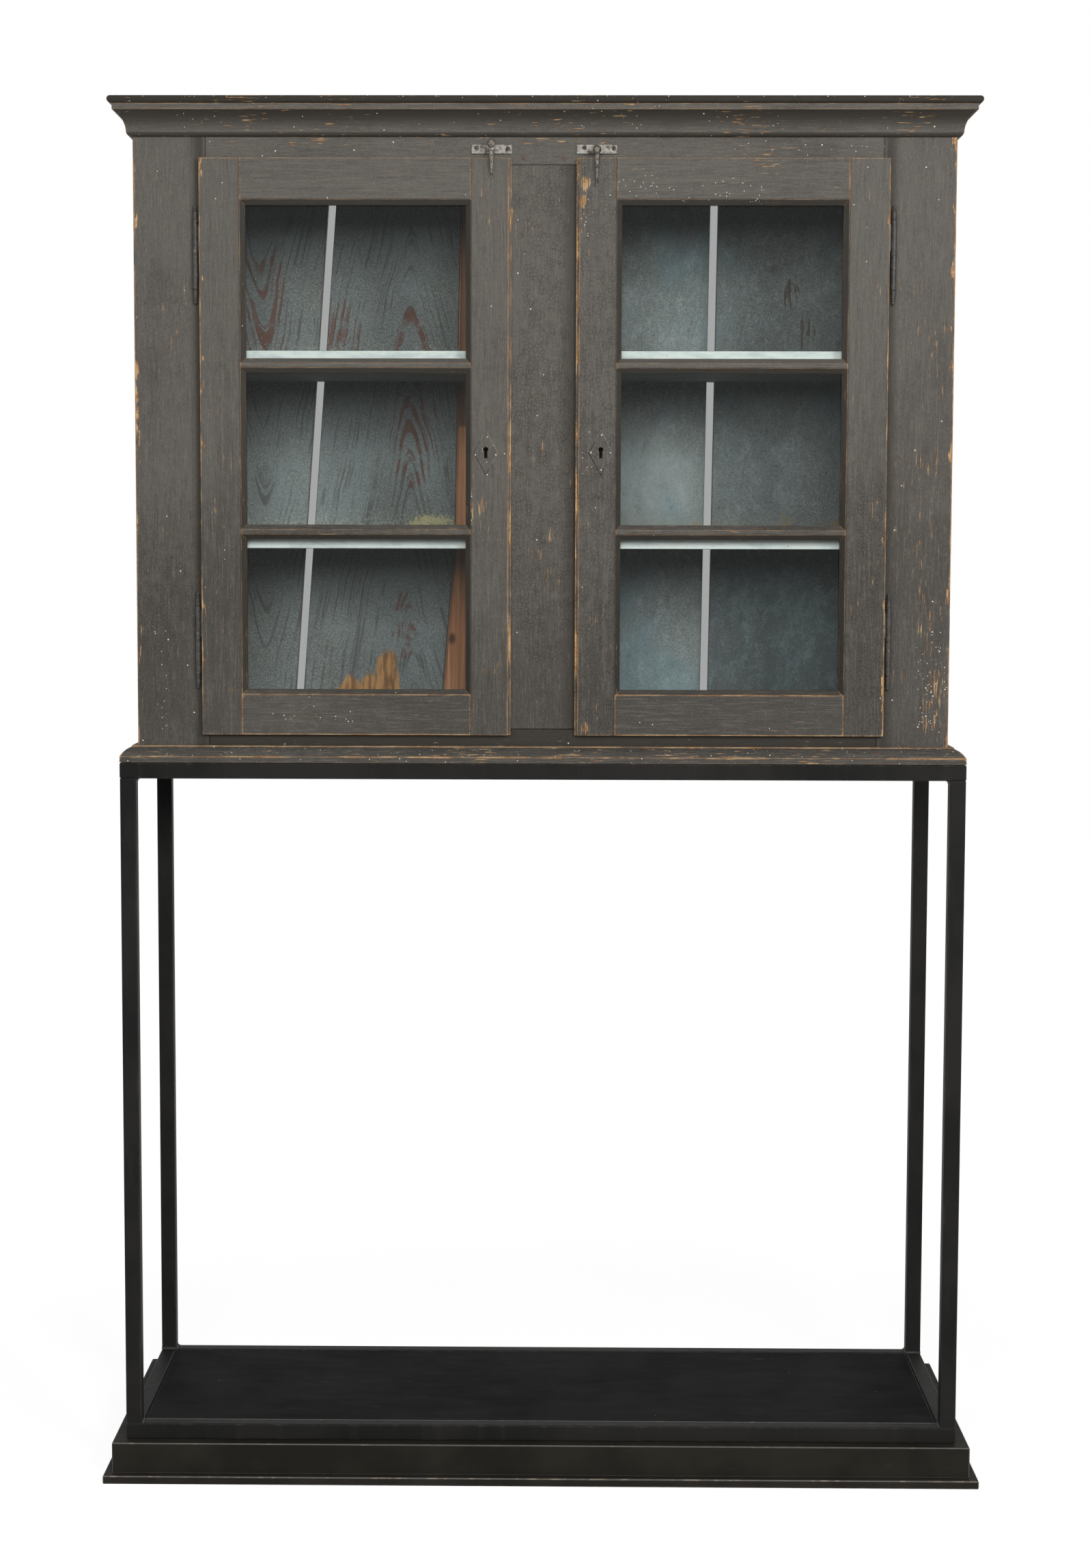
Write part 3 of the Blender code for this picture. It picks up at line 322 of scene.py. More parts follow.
def grey_paint(place, run, near, rub=0.0, bare=0.0, splash=0.0, crazing=0.0, soil=None):
    """The grey paint's colour, roughness and height. near is 0.3 on an arris. rub, bare, splash and crazing
    add wear on the edges, wear on the faces, pale flecks and crackle, and the last argument darkens the
    paint, mostly as painted shade."""
    drawn = scaled(place, run)
    fibre = mottle(drawn, 520.0, 4.0, 0.7)
    streak = mottle(drawn, 85.0, 4.0, 0.6)
    cloud = mottle(place, 3.4, 5.0, 0.6)
    grime = mottle(place, 55.0, 5.0, 0.7)
    grit = mottle(drawn_out(place, run, 0.4), 700.0, 2.0, 0.7)
    # The last term makes the paint lighter towards the top of the case: painted light, as the light falls
    # off downwards.
    tone_and_light = 0.48 * cloud + 0.30 * grime + 0.22 * streak + 0.19 * fade(axis_of(place, "Z"), 1.1, 2.0)
    paint = blend(fade(tone_and_light, 0.46, 0.74), GREY_DARK, GREY_LIGHT)
    paint = blend(fade(fibre, 0.50, 0.68) * 0.32, paint, colour(0.200, 0.172, 0.140))
    paint = blend(fade(0.96 - fibre, 0.50, 0.66) * 0.45, paint, GREY_PIT)
    paint = blend(fade(grit, 0.52, 0.76) * 0.36, paint, colour(0.230, 0.212, 0.185))
    paint = blend(fade(0.96 - grit, 0.52, 0.70) * 0.4, paint, colour(0.034, 0.030, 0.025))
    # Darkens the paint where each finish places it: painted shade under and beside other parts, and a
    # darker bottom rail.
    if soil:
        paint = blend(soil, paint, colour(0.022, 0.018, 0.013))
    cells = {"Vector": warped(place, 170.0, 0.004), "Scale": 175.0}
    cell = place.node("TexVoronoi", {"feature": "DISTANCE_TO_EDGE"}, cells, "Distance")
    crack = (1 - fade(cell, 0.0, 0.13)) * fade(mottle(place, 60.0, 3.0), 0.30, 0.62)
    crack = crack * fade(mottle(place, 2.3, 2.0) + crazing, 0.58, 0.72)
    paint = blend(crack * 0.23, paint, GREY_PIT)
    scrape = mottle(drawn_out(place, run, 0.08), 400.0, 3.0, 0.6)
    patch = mottle(place, 9.0, 4.0, 0.6)
    worn_face = fade(scrape + 0.55 * (patch - 0.5) + bare, 0.70, 0.77)
    turn = near.sum("SQRT", near | 0.0)
    chips = mottle(drawn_out(place, run, 0.25), 70.0, 4.0, 0.65)
    broken = 0.8 * (chips - 0.5) * fade(turn, 0.04, 0.12)
    worn_edge = fade(turn + broken + rub, 0.22, 0.28)
    worn = worn_face * 0.65 | worn_edge * 0.9
    timber = blend(fade(0.6 * fibre + 0.4 * grime, 0.42, 0.58), PINE_DARK, PINE_LIGHT)
    paint = blend(worn, paint, timber)
    fleck = specks(place, 100.0, 0.115, 0.05 + splash) | specks(place, 300.0, 0.26, 0.55 * splash)
    paint = blend(fleck, paint, colour(0.80, 0.76, 0.67))
    rough = 0.50 + 0.3 * grime + 0.12 * worn
    height = 0.55 * fibre + 0.35 * grime + 0.3 * grit - 1.1 * crack - 0.7 * worn + 0.8 * fleck
    return paint, rough, height


def blue_paint(place, grain):
    """The inside paint's colour, roughness and height. grain is the place, bent to run along the grain
    of the wood."""
    fibre = mottle(scaled(grain, (1.0, 1.0, 0.03)), 300.0, 3.0, 0.62)
    cloud = mottle(place, 4.2, 5.0, 0.62)
    grit = mottle(place, 620.0, 3.0, 0.75)
    stain = mottle(scaled(place, (1.0, 1.0, 0.35)), 11.0, 5.0, 0.62)
    paint = blend(fade(cloud, 0.34, 0.66), colour(0.162, 0.171, 0.168), colour(0.243, 0.274, 0.278))
    paint = blend(fade(stain, 0.48, 0.72) * 0.6, paint, colour(0.160, 0.156, 0.128))
    paint = blend(fade(grit, 0.48, 0.62) * 0.6, paint, colour(0.40, 0.44, 0.42))
    paint = blend(fade(0.98 - grit, 0.50, 0.64) * 0.6, paint, colour(0.075, 0.080, 0.078))
    paint = blend(fade(0.95 - fibre, 0.52, 0.70) * 0.45, paint, colour(0.10, 0.102, 0.098))
    return paint, 0.62 + 0.2 * grit, 0.5 * fibre + 0.5 * grit


def raw_pine(place):
    """The colour of bare old pine."""
    drawn = scaled(place, (1.0, 1.0, 0.035))
    fibre = mottle(drawn, 260.0, 4.0, 0.62)
    band = mottle(drawn, 55.0, 3.0)
    share = fade(0.6 * band + 0.4 * fibre, 0.38, 0.62)
    return blend(share, colour(0.46, 0.20, 0.100), colour(0.78, 0.40, 0.215))


def paired(name, run, outer_share):
    """A board with the grey paint where outer_share is 1 and the inside paint where it is 0."""
    finish, place = begin(name)
    share = outer_share(place)
    outer, outer_rough, outer_height = grey_paint(place, run, chamfer(place) + arris(place, 0.003))
    inner, inner_rough, inner_height = blue_paint(place, place)
    sockets = {
        "Base Color": blend(share, inner, outer),
        "Roughness": inner_rough + share * (outer_rough - inner_rough),
        "Specular IOR Level": PAINT_SHEEN,
    }
    height = inner_height + share * (outer_height - inner_height)
    return end(finish, place, sockets, height, PAINT_RELIEF)


SIDE_MIDDLE = (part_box("right_side")[0].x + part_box("right_side")[1].x) / 2
TOP_MIDDLE = (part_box("case_top")[0].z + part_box("case_top")[1].z) / 2
side_finish = paired("case_side_paint", UP_THE_BOARD, lambda place: abs(axis_of(place, "X")) > SIDE_MIDDLE)
top_finish = paired("case_top_paint", ALONG_THE_BOARD, lambda place: axis_of(place, "Z") > TOP_MIDDLE)
dress(side_finish, "left_side", "right_side")
dress(top_finish, "case_top")


# The shelves and the case floor are planed pine boards housed in the sides.
# They are painted as the back is, and their front edges have a coat of pale blue white.
EDGE_COAT = 0.0008


def shelf_finish():
    finish, place = begin("shelf_paint")
    quarter_turn = {"Vector": place, "Angle": math.pi / 2}
    lengthways = place.node("VectorRotate", {"rotation_type": "Y_AXIS"}, quarter_turn)
    paint, rough, height = blue_paint(place, lengthways)
    edge = axis_of(place, "Y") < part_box("lower_shelf")[0].y + EDGE_COAT
    soil = mottle(scaled(place, (0.3, 1.0, 1.0)), 55.0, 5.0, 0.65)
    pale = blend(fade(soil, 0.42, 0.68), colour(0.84, 0.885, 0.85), colour(0.62, 0.685, 0.675))
    pale = blend(specks(place, 90.0, 0.12, 0.15) * 0.7, pale, colour(0.33, 0.28, 0.2))
    paint = blend(edge, paint, pale)
    sockets = {"Base Color": paint, "Roughness": rough, "Specular IOR Level": PAINT_SHEEN}
    return end(finish, place, sockets, height, 0.0003)


dress(shelf_finish(), "lower_shelf", "upper_shelf", "case_floor")


# The back is four upright pine boards that have shrunk apart, blue grey to the inside and bare behind.
# The paint has worn off the hard lines of the grain, so the heart of a board shows as red brown arches.
BACK_MIDDLE = (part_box("left_back_board")[0].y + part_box("left_back_board")[1].y) / 2


def along_grain(place, x, rise, spread):
    """The place, bent to follow the grain of a board with its heart at x. Its arches point up for a rise
    of 1 and down for -1, and spread rounds their tips."""
    bent = warped(place, 6.0, 0.03)
    across = axis_of(bent, "X") - x
    height = axis_of(bent, "Z")
    squared = across * across + spread * spread
    ring = squared.sum("SQRT", squared) + height * (rise * 0.2)
    return place.node("CombineXYZ", {}, {"X": ring, "Z": height})


def any_spot(place, zones):
    """1 in the middle of each upright oval, given as x, z, half width and half height."""
    found = spot(place, *zones[0])
    for zone in zones[1:]:
        found = found | spot(place, *zone)
    return found


def back_board(name, heart, strength, red_zones, marks):
    """heart gives the arches, strength how dark they are, red_zones where they are bare and marks the
    other patches."""
    finish, place = begin(name)
    grain = along_grain(place, *heart)
    paint, rough, height = blue_paint(place, grain)
    ring = mottle(scaled(grain, (1.0, 1.0, 0.02)), 210.0, 2.0, 0.5)
    arches = fade(ring, 0.52, 0.62) * fade(mottle(place, 14.0, 3.0), 0.38, 0.58)
    paint = blend(arches * strength, paint, colour(0.085, 0.078, 0.070))
    shown = any_spot(place, red_zones)
    red = fade(ring + 0.09 * shown, 0.57, 0.60) * fade(shown, 0.04, 0.25)
    red = red * fade(mottle(place, 45.0, 3.0), 0.36, 0.54)
    paint = blend(red * 0.75, paint, colour(0.175, 0.070, 0.048))
    paint = marks(place, paint)
    # The edges of each board are darkened: dirt, and painted shade in the gaps between the boards.
    paint = blend(fade(arris(place, 0.004), 0.03, 0.16) * 0.8, paint, colour(0.040, 0.030, 0.024))
    aged = fade(mottle(scaled(place, (1.0, 1.0, 0.2)), 16.0, 4.0), 0.35, 0.6)
    timber = blend(aged * 0.7, raw_pine(place), colour(0.25, 0.185, 0.13))
    behind = axis_of(place, "Y") > BACK_MIDDLE
    paint = blend(behind, paint, timber)
    sockets = {"Base Color": paint, "Roughness": rough, "Specular IOR Level": PAINT_SHEEN}
    return end(finish, place, sockets, height - 0.5 * arches - 0.6 * red, PAINT_RELIEF)


def dusty(place, paint):
    """Pale grit on the lower part of each compartment."""
    level = axis_of(place, "Z")
    grit = mottle(place, 240.0, 4.0, 0.75)
    low = 0.0
    for shelf in ("case_floor", "lower_shelf", "upper_shelf"):
        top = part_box(shelf)[1].z
        low = low + fade(level, top - 0.001, top) * (1 - fade(level, top, top + 0.085))
    return blend(fade(grit + 0.22 * low, 0.66, 0.82) * 0.75, paint, colour(0.44, 0.44, 0.37))


def scorched(place, paint):
    """The flame shaped patch of bare wood low on the board, and the yellow loss over the lower shelf."""
    licked = scaled(warped(scaled(place, (1.0, 1.0, 0.45)), 60.0, 0.016), (1.0, 1.0, 1.0 / 0.45))
    tongues = any_spot(licked, (
        (-0.262, 1.222, 0.030, 0.092),
        (-0.289, 1.210, 0.028, 0.060),
        (-0.322, 1.212, 0.026, 0.052),
        (-0.339, 1.205, 0.018, 0.035),
    ))
    burnt = mottle(scaled(place, (1.0, 1.0, 0.16)), 130.0, 4.0, 0.68)
    timber = blend(fade(burnt, 0.36, 0.62), colour(0.25, 0.125, 0.055), colour(0.62, 0.33, 0.135))
    grit = mottle(place, 260.0, 4.0, 0.75)
    yellow = spot(place, -0.188, 1.502, 0.075, 0.034)
    paint = blend(fade(grit + 0.42 * yellow, 0.78, 0.9), paint, colour(0.56, 0.49, 0.25))
    return blend(fade(tongues, 0.12, 0.42), dusty(place, paint), timber)


def clouded(place, paint):
    """The smoother boards of the right bay, with pale, blue and rust clouds and one patch of dark grain."""
    level = axis_of(place, "Z")
    paint = blend(0.55 * spot(place, 0.16, 1.57, 0.16, 0.14), paint, colour(0.40, 0.44, 0.44))
    dim = fade(axis_of(place, "X"), 0.255, 0.275) * (0.25 + 0.4 * (1 - fade(level, 1.44, 1.50)))
    drift = mottle(scaled(place, (1.0, 1.0, 0.6)), 9.0, 5.0, 0.62)
    low = 1 - fade(level, 1.25, 1.75)
    paint = blend(fade(drift + 0.1 * low, 0.5, 0.7) * 0.55, paint, colour(0.200, 0.300, 0.335))
    sponged = mottle(scaled(warped(place, 14.0, 0.05), (1.0, 1.0, 0.6)), 38.0, 6.0, 0.78)
    sponged = sponged + 0.5 * (mottle(place, 330.0, 2.0) - 0.5)
    paint = blend(dim, paint, colour(0.056, 0.061, 0.063))
    gathered = fade(sponged + 0.35 * (drift - 0.5), 0.46, 0.60)
    paint = blend(gathered * dim, paint, colour(0.150, 0.190, 0.192))
    paint = blend(fade(sponged, 0.50, 0.70) * (0.42 - 0.42 * dim), paint, colour(0.44, 0.48, 0.47))
    paint = blend(fade(0.96 - sponged, 0.50, 0.70) * 0.45, paint, colour(0.085, 0.090, 0.090))
    rust = mottle(scaled(place, (1.0, 1.0, 0.5)), 30.0, 4.0, 0.7)
    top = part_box("lower_shelf")[1].z
    over = (1 - fade(level, top + 0.005, top + 0.05)) * fade(level, top - 0.002, top)
    paint = blend(0.4 * over * fade(drift, 0.35, 0.6), paint, colour(0.27, 0.235, 0.17))
    paint = blend(fade(rust + 0.2 * over, 0.68, 0.82) * 0.6, paint, colour(0.33, 0.22, 0.10))
    drawn = mottle(scaled(warped(place, 20.0, 0.01), (1.0, 1.0, 0.09)), 190.0, 2.0)
    dark = any_spot(place, ((0.410, 1.885, 0.024, 0.055), (0.438, 1.825, 0.024, 0.055)))
    paint = blend(fade(drawn + 0.3 * dark, 0.76, 0.84) * 0.85, paint, colour(0.085, 0.062, 0.052))
    knots = any_spot(place, ((0.3815, 1.9272, 0.013, 0.011), (0.4909, 1.8057, 0.008, 0.008)))
    return blend(knots * 0.45, paint, colour(0.075, 0.060, 0.050))


def half_bare(place, paint):
    """The board behind the post: raw pine with a knot on its left, painted on its right."""
    knot = spot(place, -0.153, 1.312, 0.009, 0.014)
    timber = blend(knot * 0.8, raw_pine(place), colour(0.055, 0.025, 0.016))
    timber = blend(0.65 * fade(axis_of(place, "Z"), 1.664, 1.670), timber, colour(0.085, 0.055, 0.045))
    bare = 1 - fade(axis_of(place, "X"), -0.075, -0.065)
    return blend(bare, clouded(place, paint), timber)


left_back = back_board(
    "left_back_paint", heart=(-0.468, -1, 0.012), strength=0.6, marks=dusty,
    red_zones=((-0.468, 1.88, 0.045, 0.12), (-0.47, 1.80, 0.05, 0.07)),
)
left_middle_back = back_board(
    "left_middle_back_paint", heart=(-0.222, 1, 0.012), strength=0.6, marks=scorched,
    red_zones=((-0.218, 1.655, 0.055, 0.11), (-0.345, 1.80, 0.05, 0.10), (-0.215, 1.80, 0.045, 0.10),
               (-0.233, 1.335, 0.03, 0.07)),
)
right_middle_back = back_board(
    "right_middle_back_paint", heart=(0.60, 1, 0.1), strength=0.15, marks=half_bare,
    red_zones=((0.20, 2.0, 0.001, 0.001),),
)
right_back = back_board(
    "right_back_paint", heart=(0.02, -1, 0.1), strength=0.15, marks=clouded,
    red_zones=((0.412, 1.90, 0.012, 0.03),),
)
dress(left_back, "left_back_board")
dress(left_middle_back, "left_middle_back_board")
dress(right_middle_back, "right_middle_back_board")
dress(right_back, "right_back_board")


# The face frame is pine, mortised and tenoned: two stiles, a top rail, a bottom rail and a centre post.
# It is planed flush and painted grey, and wear follows its long edges.
POST_GAP = (0.018, 0.054)
STILE_GAP = (0.515, 0.524)
STILE_GAP_END = (0.5265, 0.5450)
FRAME_CORNER = (0.616, 0.621)


def ovals(*places):
    """More of something in upright ovals, each given as x, z, half width, half height and amount."""
    return lambda place: sum(amount * spot(place, x, z, wide, high) for x, z, wide, high, amount in places)


def grey_finish(name, run, near, key=None, **wear):
    """A grey painted finish. near finds the arrises and key paints round a keyhole. wear holds what
    grey_paint takes, each a number or a function of the place."""
    finish, place = begin(name)
    here = {word: value(place) if callable(value) else value for word, value in wear.items()}
    paint, rough, height = grey_paint(place, run, near(place), **here)
    if key:
        paint = key(place, paint)
    sockets = {"Base Color": paint, "Roughness": rough, "Specular IOR Level": PAINT_SHEEN}
    return end(finish, place, sockets, height, PAINT_RELIEF)


def board_edge(place):
    return chamfer(place) + arris(place, 0.003)


def painted_door_gap_shadow(place):
    """Painted shadow on the frame along the edges of the doors, widest on the post beside the right door.
    """
    x = axis_of(place, "X")
    post = fade(x, *POST_GAP) * (x < 0.1)
    outer = fade(abs(x), *STILE_GAP) * (1 - fade(abs(x), *STILE_GAP_END))
    return 0.8 * post | 0.7 * outer


def ragged(place):
    """Noise drawn out up the board, which breaks up a line of wear."""
    return mottle(scaled(place, (1.0, 1.0, 0.2)), 90.0, 4.0, 0.65)


def outer_wear(place):
    """Wear on the frame: ragged down its outer corners, and hardly any elsewhere."""
    corner = fade(abs(axis_of(place, "X")), *FRAME_CORNER)
    return (2.6 * ragged(place) - 0.80) * corner - 0.52


frame_upright = grey_finish(
    "frame_upright_paint", UP_THE_BOARD, board_edge,
    rub=outer_wear,
    bare=ovals((0.604, 1.225, 0.026, 0.10, 0.13), (-0.622, 1.33, 0.006, 0.08, 0.26),
               (-0.566, 1.29, 0.004, 0.12, 0.17),
               (-0.0114, 1.7586, 0.005, 0.014, 0.14), (0.0064, 1.7514, 0.005, 0.016, 0.14),
               (0.0115, 1.4827, 0.005, 0.022, 0.18), (-0.0008, 1.615, 0.002, 0.05, 0.22),
               (0.012, 1.56, 0.002, 0.05, 0.15), (0.590, 1.60, 0.045, 0.55, 0.075)),
    splash=ovals((-0.588, 1.27, 0.022, 0.11, 0.3), (0.600, 1.25, 0.03, 0.12, 0.6)),
    crazing=ovals((0.0, 1.6, 0.08, 0.7, 0.34)),
    soil=painted_door_gap_shadow,
)
frame_rail = grey_finish(
    "frame_rail_paint", ALONG_THE_BOARD, board_edge,
    rub=-0.52,
    bare=ovals((0.02, 2.09, 0.5, 0.03, 0.05), (-0.30, 2.083, 0.20, 0.016, 0.09),
               (0.02, 2.085, 0.05, 0.012, 0.07)),
    splash=ovals((0.40, 2.07, 0.15, 0.02, 0.25)),
    # The bottom rail, below the doors, is painted darker.
    soil=lambda place: 0.78 * (axis_of(place, "Z") < 1.5),
)
dress(frame_upright, "frame_left_stile", "frame_right_stile", "centre_post")
dress(frame_rail, "frame_top_rail", "frame_bottom_rail")


# Two oak pegs pin the top rail to the post's tenon.
# Each is a split and shaved pin driven through, cut off a hair proud of the rail and painted over.
PEG_RADIUS = 0.0034
PEG_PROUD = 0.0007
PEG_ROUNDING = 0.0006
PEG_PLACES = ((-0.0311, 2.0560), (0.0308, 2.0552))
STUD_ROOT = 0.001


def lines(parts):
    return [part for part in parts if isinstance(part, bmesh.types.BMEdge)]


def stud(form, x, y, z, radius, proud, rounding):
    """Adds a round head that stands proud of a front face at y, with its rim rounded over."""
    turn = Matrix.Translation((x, y + STUD_ROOT, z)) @ Matrix.Rotation(math.pi / 2, 4, "X")
    cap = bmesh.ops.create_circle(form, cap_ends=True, radius=radius, segments=14, matrix=turn)
    root = list({face for vert in cap["verts"] for face in vert.link_faces})
    pulled = bmesh.ops.extrude_face_region(form, geom=root, use_keep_orig=True)["geom"]
    bmesh.ops.translate(form, verts=points(pulled), vec=(0, -STUD_ROOT - proud, 0))
    rim = lines(pulled)
    bmesh.ops.bevel(form, geom=rim, offset=rounding, affect="EDGES", segments=2, profile=0.5, material=-1)
    bmesh.ops.recalc_face_normals(form, faces=form.faces)


def peg_finish():
    finish, place = begin("peg_paint")
    grain = mottle(place, 700.0, 3.0)
    paint = blend(fade(grain, 0.4, 0.6), colour(0.075, 0.060, 0.050), colour(0.16, 0.105, 0.075))
    sockets = {"Base Color": paint, "Roughness": 0.6 + 0.2 * grain, "Specular IOR Level": PAINT_SHEEN}
    return end(finish, place, sockets, grain, 0.0004)


pegs = bmesh.new()
for x, z in PEG_PLACES:
    stud(pegs, x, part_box("frame_top_rail")[0].y, z, PEG_RADIUS, PEG_PROUD, PEG_ROUNDING)
keep("post_pegs", pegs, peg_finish(), "case")


# The cornice and the base moulding are run in pine and mitred round the front and the two sides.
# Their noses and fillets stand out, so the paint has rubbed off them in long broken lines.
def crest(place):
    """Wear on top of the cornice's nose."""
    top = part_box("cornice")[1].z
    return fade(axis_of(place, "Z"), top - 0.0040, top - 0.0006)


def shade(place):
    """Painted shade under the cornice's nose, in the top of its cove and on its lowest bead."""
    level = axis_of(place, "Z")
    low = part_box("cornice")[0].z
    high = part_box("cornice")[1].z
    nose = fade(level, high - 0.0125, high - 0.0105)
    cove = fade(level, high - 0.056, high - 0.026) * (1 - fade(level, high - 0.0215, high - 0.020))
    return 0.97 * nose | 0.88 * cove | 0.75 * (1 - fade(level, low + 0.0055, low + 0.0072))


def moulding_edge(place):
    return arris(place, 0.004)


def sill_wear(place):
    """Wear on the base moulding: most where its slope meets its fillet, none along its lower edge."""
    rise = axis_of(place, "Z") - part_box("base_moulding")[0].z
    fillet = fade(rise, 0.004, 0.007) * (1 - fade(rise, 0.014, 0.017))
    return 0.12 * fillet - 0.45 * (1 - fade(rise, 0.002, 0.005)) - 0.22 * fade(rise, 0.017, 0.020)


cornice_finish = grey_finish(
    "cornice_paint", ROUND_THE_CASE, moulding_edge,
    rub=lambda place: 0.06 * crest(place) - 0.24,
    bare=lambda place: 0.06 * crest(place) + 0.04,
    splash=lambda place: 0.75 * crest(place) + 0.05,
    soil=shade,
)
base_finish = grey_finish(
    "base_moulding_paint", ROUND_THE_CASE, moulding_edge,
    rub=sill_wear,
    bare=0.07,
    splash=0.12,
)
dress(cornice_finish, "cornice")
dress(base_finish, "base_moulding")


# Each door is a pine frame with two glazing bars, mortised and tenoned and chamfered round the panes.
# It is lipped over the opening, and hands have worn its closing edge to the wood.
HANDS = ("left", "right")
KEY_ACROSS = 0.088
KEY_LEVEL = 1.6097
KEYHOLE_HALF = (0.0065, 0.0125)
LOZENGE_HALF = (0.0185, 0.034)
HINGE_EDGE = (0.516, 0.520)
CLOSING_EDGE = (0.0500, 0.0560)
LOCK_CHAMFER = (0.1085, 0.1105)
HINGE_CHAMFER = (0.4645, 0.4665)


def door_edge(place):
    return arris(place, 0.0035)


def hinge_edge(place):
    """Wear on the edge of a door beside its hinges."""
    outer = fade(abs(axis_of(place, "X")), *HINGE_EDGE)
    return (2.6 * ragged(place) - 1.25) * outer - 0.11


def closing_edge(place):
    """Wear on the edge of a door that is held to open it."""
    x = axis_of(place, "X")
    near = 1 - fade(abs(x), *CLOSING_EDGE)
    key = any_spot(place, [(side * KEY_ACROSS, KEY_LEVEL, 0.032, 0.05) for side in (-1, 1)])
    sight = fade(abs(x), 0.102, 0.106)
    held = 0.35 * (1 - fade(axis_of(place, "Z"), 1.40, 1.80)) + 0.15 * (x > 0.0)
    return (3.6 * ragged(place) - 1.90 + held) * near - 0.12 * sight - 0.17 - 0.9 * key


def painted_sight_shade(place):
    """Painted shade on the chamfers of the stiles."""
    x = abs(axis_of(place, "X"))
    return 0.6 * fade(x, *LOCK_CHAMFER) * (1 - fade(x, *HINGE_CHAMFER))


def painted_rail_shade(place):
    """Painted shade on the chamfers under the top rail and the bars."""
    level = axis_of(place, "Z")
    painted_chamfer_shade = 0.0
    for rail in ("top_rail", "bar_1", "bar_2"):
        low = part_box(f"left_door_{rail}")[0].z
        painted_chamfer_shade = painted_chamfer_shade + (level > low - 0.001) * (1 - fade(level, low + 0.008, low + 0.010))
    return 0.6 * painted_chamfer_shade


def rail_wear(place):
    """Wear on the rails and bars: along the door's lower edge, on the chamfer over it and a little on
    the bars."""
    level = axis_of(place, "Z")
    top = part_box("left_door_bottom_rail")[1].z
    sill = fade(level, top - 0.016, top - 0.012) * (1 - fade(level, top - 0.004, top - 0.001))
    bars = fade(level, 1.30, 1.31) * (1 - fade(level, 1.95, 1.96))
    return 0.26 * (level < 1.18) + 0.24 * sill + 0.05 * bars - 0.18


def escutcheon(hand):
    """Paints the rim of an escutcheon with a painted highlight above and painted shade below, and painted
    shade inside its keyhole.
    """
    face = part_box(f"{hand}_door_lock_stile")[0].y
    x = KEY_ACROSS if hand == "right" else -KEY_ACROSS

    def painted(place, paint):
        across = axis_of(place, "X") - x
        rise = axis_of(place, "Z") - KEY_LEVEL
        lozenge = abs(across) * (1 / LOZENGE_HALF[0]) + abs(rise) * (1 / LOZENGE_HALF[1])
        rim = (1 - fade(abs(lozenge - 1.0), 0.02, 0.055)) * fade(mottle(place, 130.0, 3.0), 0.36, 0.52)
        # Painted highlight on the upper rim and painted shade on the lower rim.
        lit = fade(across + 0.5 * rise, -0.002, 0.002)
        paint = blend(rim * 0.75, paint, blend(lit, colour(0.022, 0.019, 0.016), colour(0.24, 0.22, 0.19)))
        # Painted shade fills the keyhole.
        keyhole_shade = (abs(across) < KEYHOLE_HALF[0]) * (abs(rise) < KEYHOLE_HALF[1])
        keyhole_shade = keyhole_shade * (axis_of(place, "Y") > face + 0.0003)
        return blend(keyhole_shade, paint, colour(0.003, 0.003, 0.003))

    return painted


def hinge_crazing(place):
    """Crackle low on the right door's hinge stile."""
    right = axis_of(place, "X") > 0.0
    return 0.30 * right * (1 - fade(axis_of(place, "Z"), 1.5, 1.8)) - 0.05


door_upright = grey_finish(
    "hinge_stile_paint", UP_THE_BOARD, door_edge,
    rub=hinge_edge,
    bare=ovals((-0.506, 1.32, 0.006, 0.12, 0.12), (-0.49, 1.29, 0.03, 0.14, 0.03),
               (0.50, 1.30, 0.03, 0.14, 0.02)),
    crazing=hinge_crazing,
    soil=painted_sight_shade,
)
door_rail = grey_finish(
    "door_rail_paint", ALONG_THE_BOARD, door_edge,
    rub=rail_wear,
    bare=ovals((0.145, 2.034, 0.035, 0.010, 0.13), (0.32, 2.0, 0.1, 0.03, 0.03),
               (-0.3, 1.20, 0.2, 0.02, 0.03)),
    splash=ovals((0.155, 2.013, 0.06, 0.022, 0.8), (0.28, 2.0, 0.1, 0.03, 0.25),
                 (-0.37, 1.21, 0.12, 0.03, 0.10), (-0.20, 1.245, 0.10, 0.012, 0.1)),
    crazing=-0.15,
    soil=painted_rail_shade,
)
left_lock = grey_finish(
    "left_lock_stile_paint", UP_THE_BOARD, door_edge,
    rub=closing_edge,
    bare=ovals((-0.0951, 1.9888, 0.004, 0.03, 0.2), (-0.071, 1.278, 0.006, 0.03, 0.2),
               (-0.0817, 1.362, 0.014, 0.13, 0.08), (-0.085, 1.25, 0.03, 0.10, 0.03)),
    splash=ovals((-0.088, 1.61, 0.03, 0.05, 0.2)),
    soil=painted_sight_shade,
    key=escutcheon("left"),
)
right_lock = grey_finish(
    "right_lock_stile_paint", UP_THE_BOARD, door_edge,
    rub=closing_edge,
    bare=ovals((0.0624, 2.0165, 0.012, 0.017, 0.33), (0.0584, 1.9899, 0.010, 0.015, 0.30),
               (0.064, 1.97, 0.018, 0.09, 0.10), (0.0701, 1.9224, 0.006, 0.04, 0.15),
               (0.0757, 1.2046, 0.022, 0.05, 0.08), (0.066, 1.187, 0.016, 0.014, 0.16),
               (0.058, 1.45, 0.008, 0.35, 0.05)),
    splash=ovals((0.0664, 1.597, 0.014, 0.030, 0.85), (0.068, 1.97, 0.02, 0.08, 0.3)),
    crazing=0.30,
    soil=painted_sight_shade,
    key=escutcheon("right"),
)
for hand in HANDS:
    dress(door_upright, f"{hand}_door_hinge_stile")
    for rail in ("top_rail", "bottom_rail", "bar_1", "bar_2"):
        dress(door_rail, f"{hand}_door_{rail}")
dress(left_lock, "left_door_lock_stile")
dress(right_lock, "right_door_lock_stile")


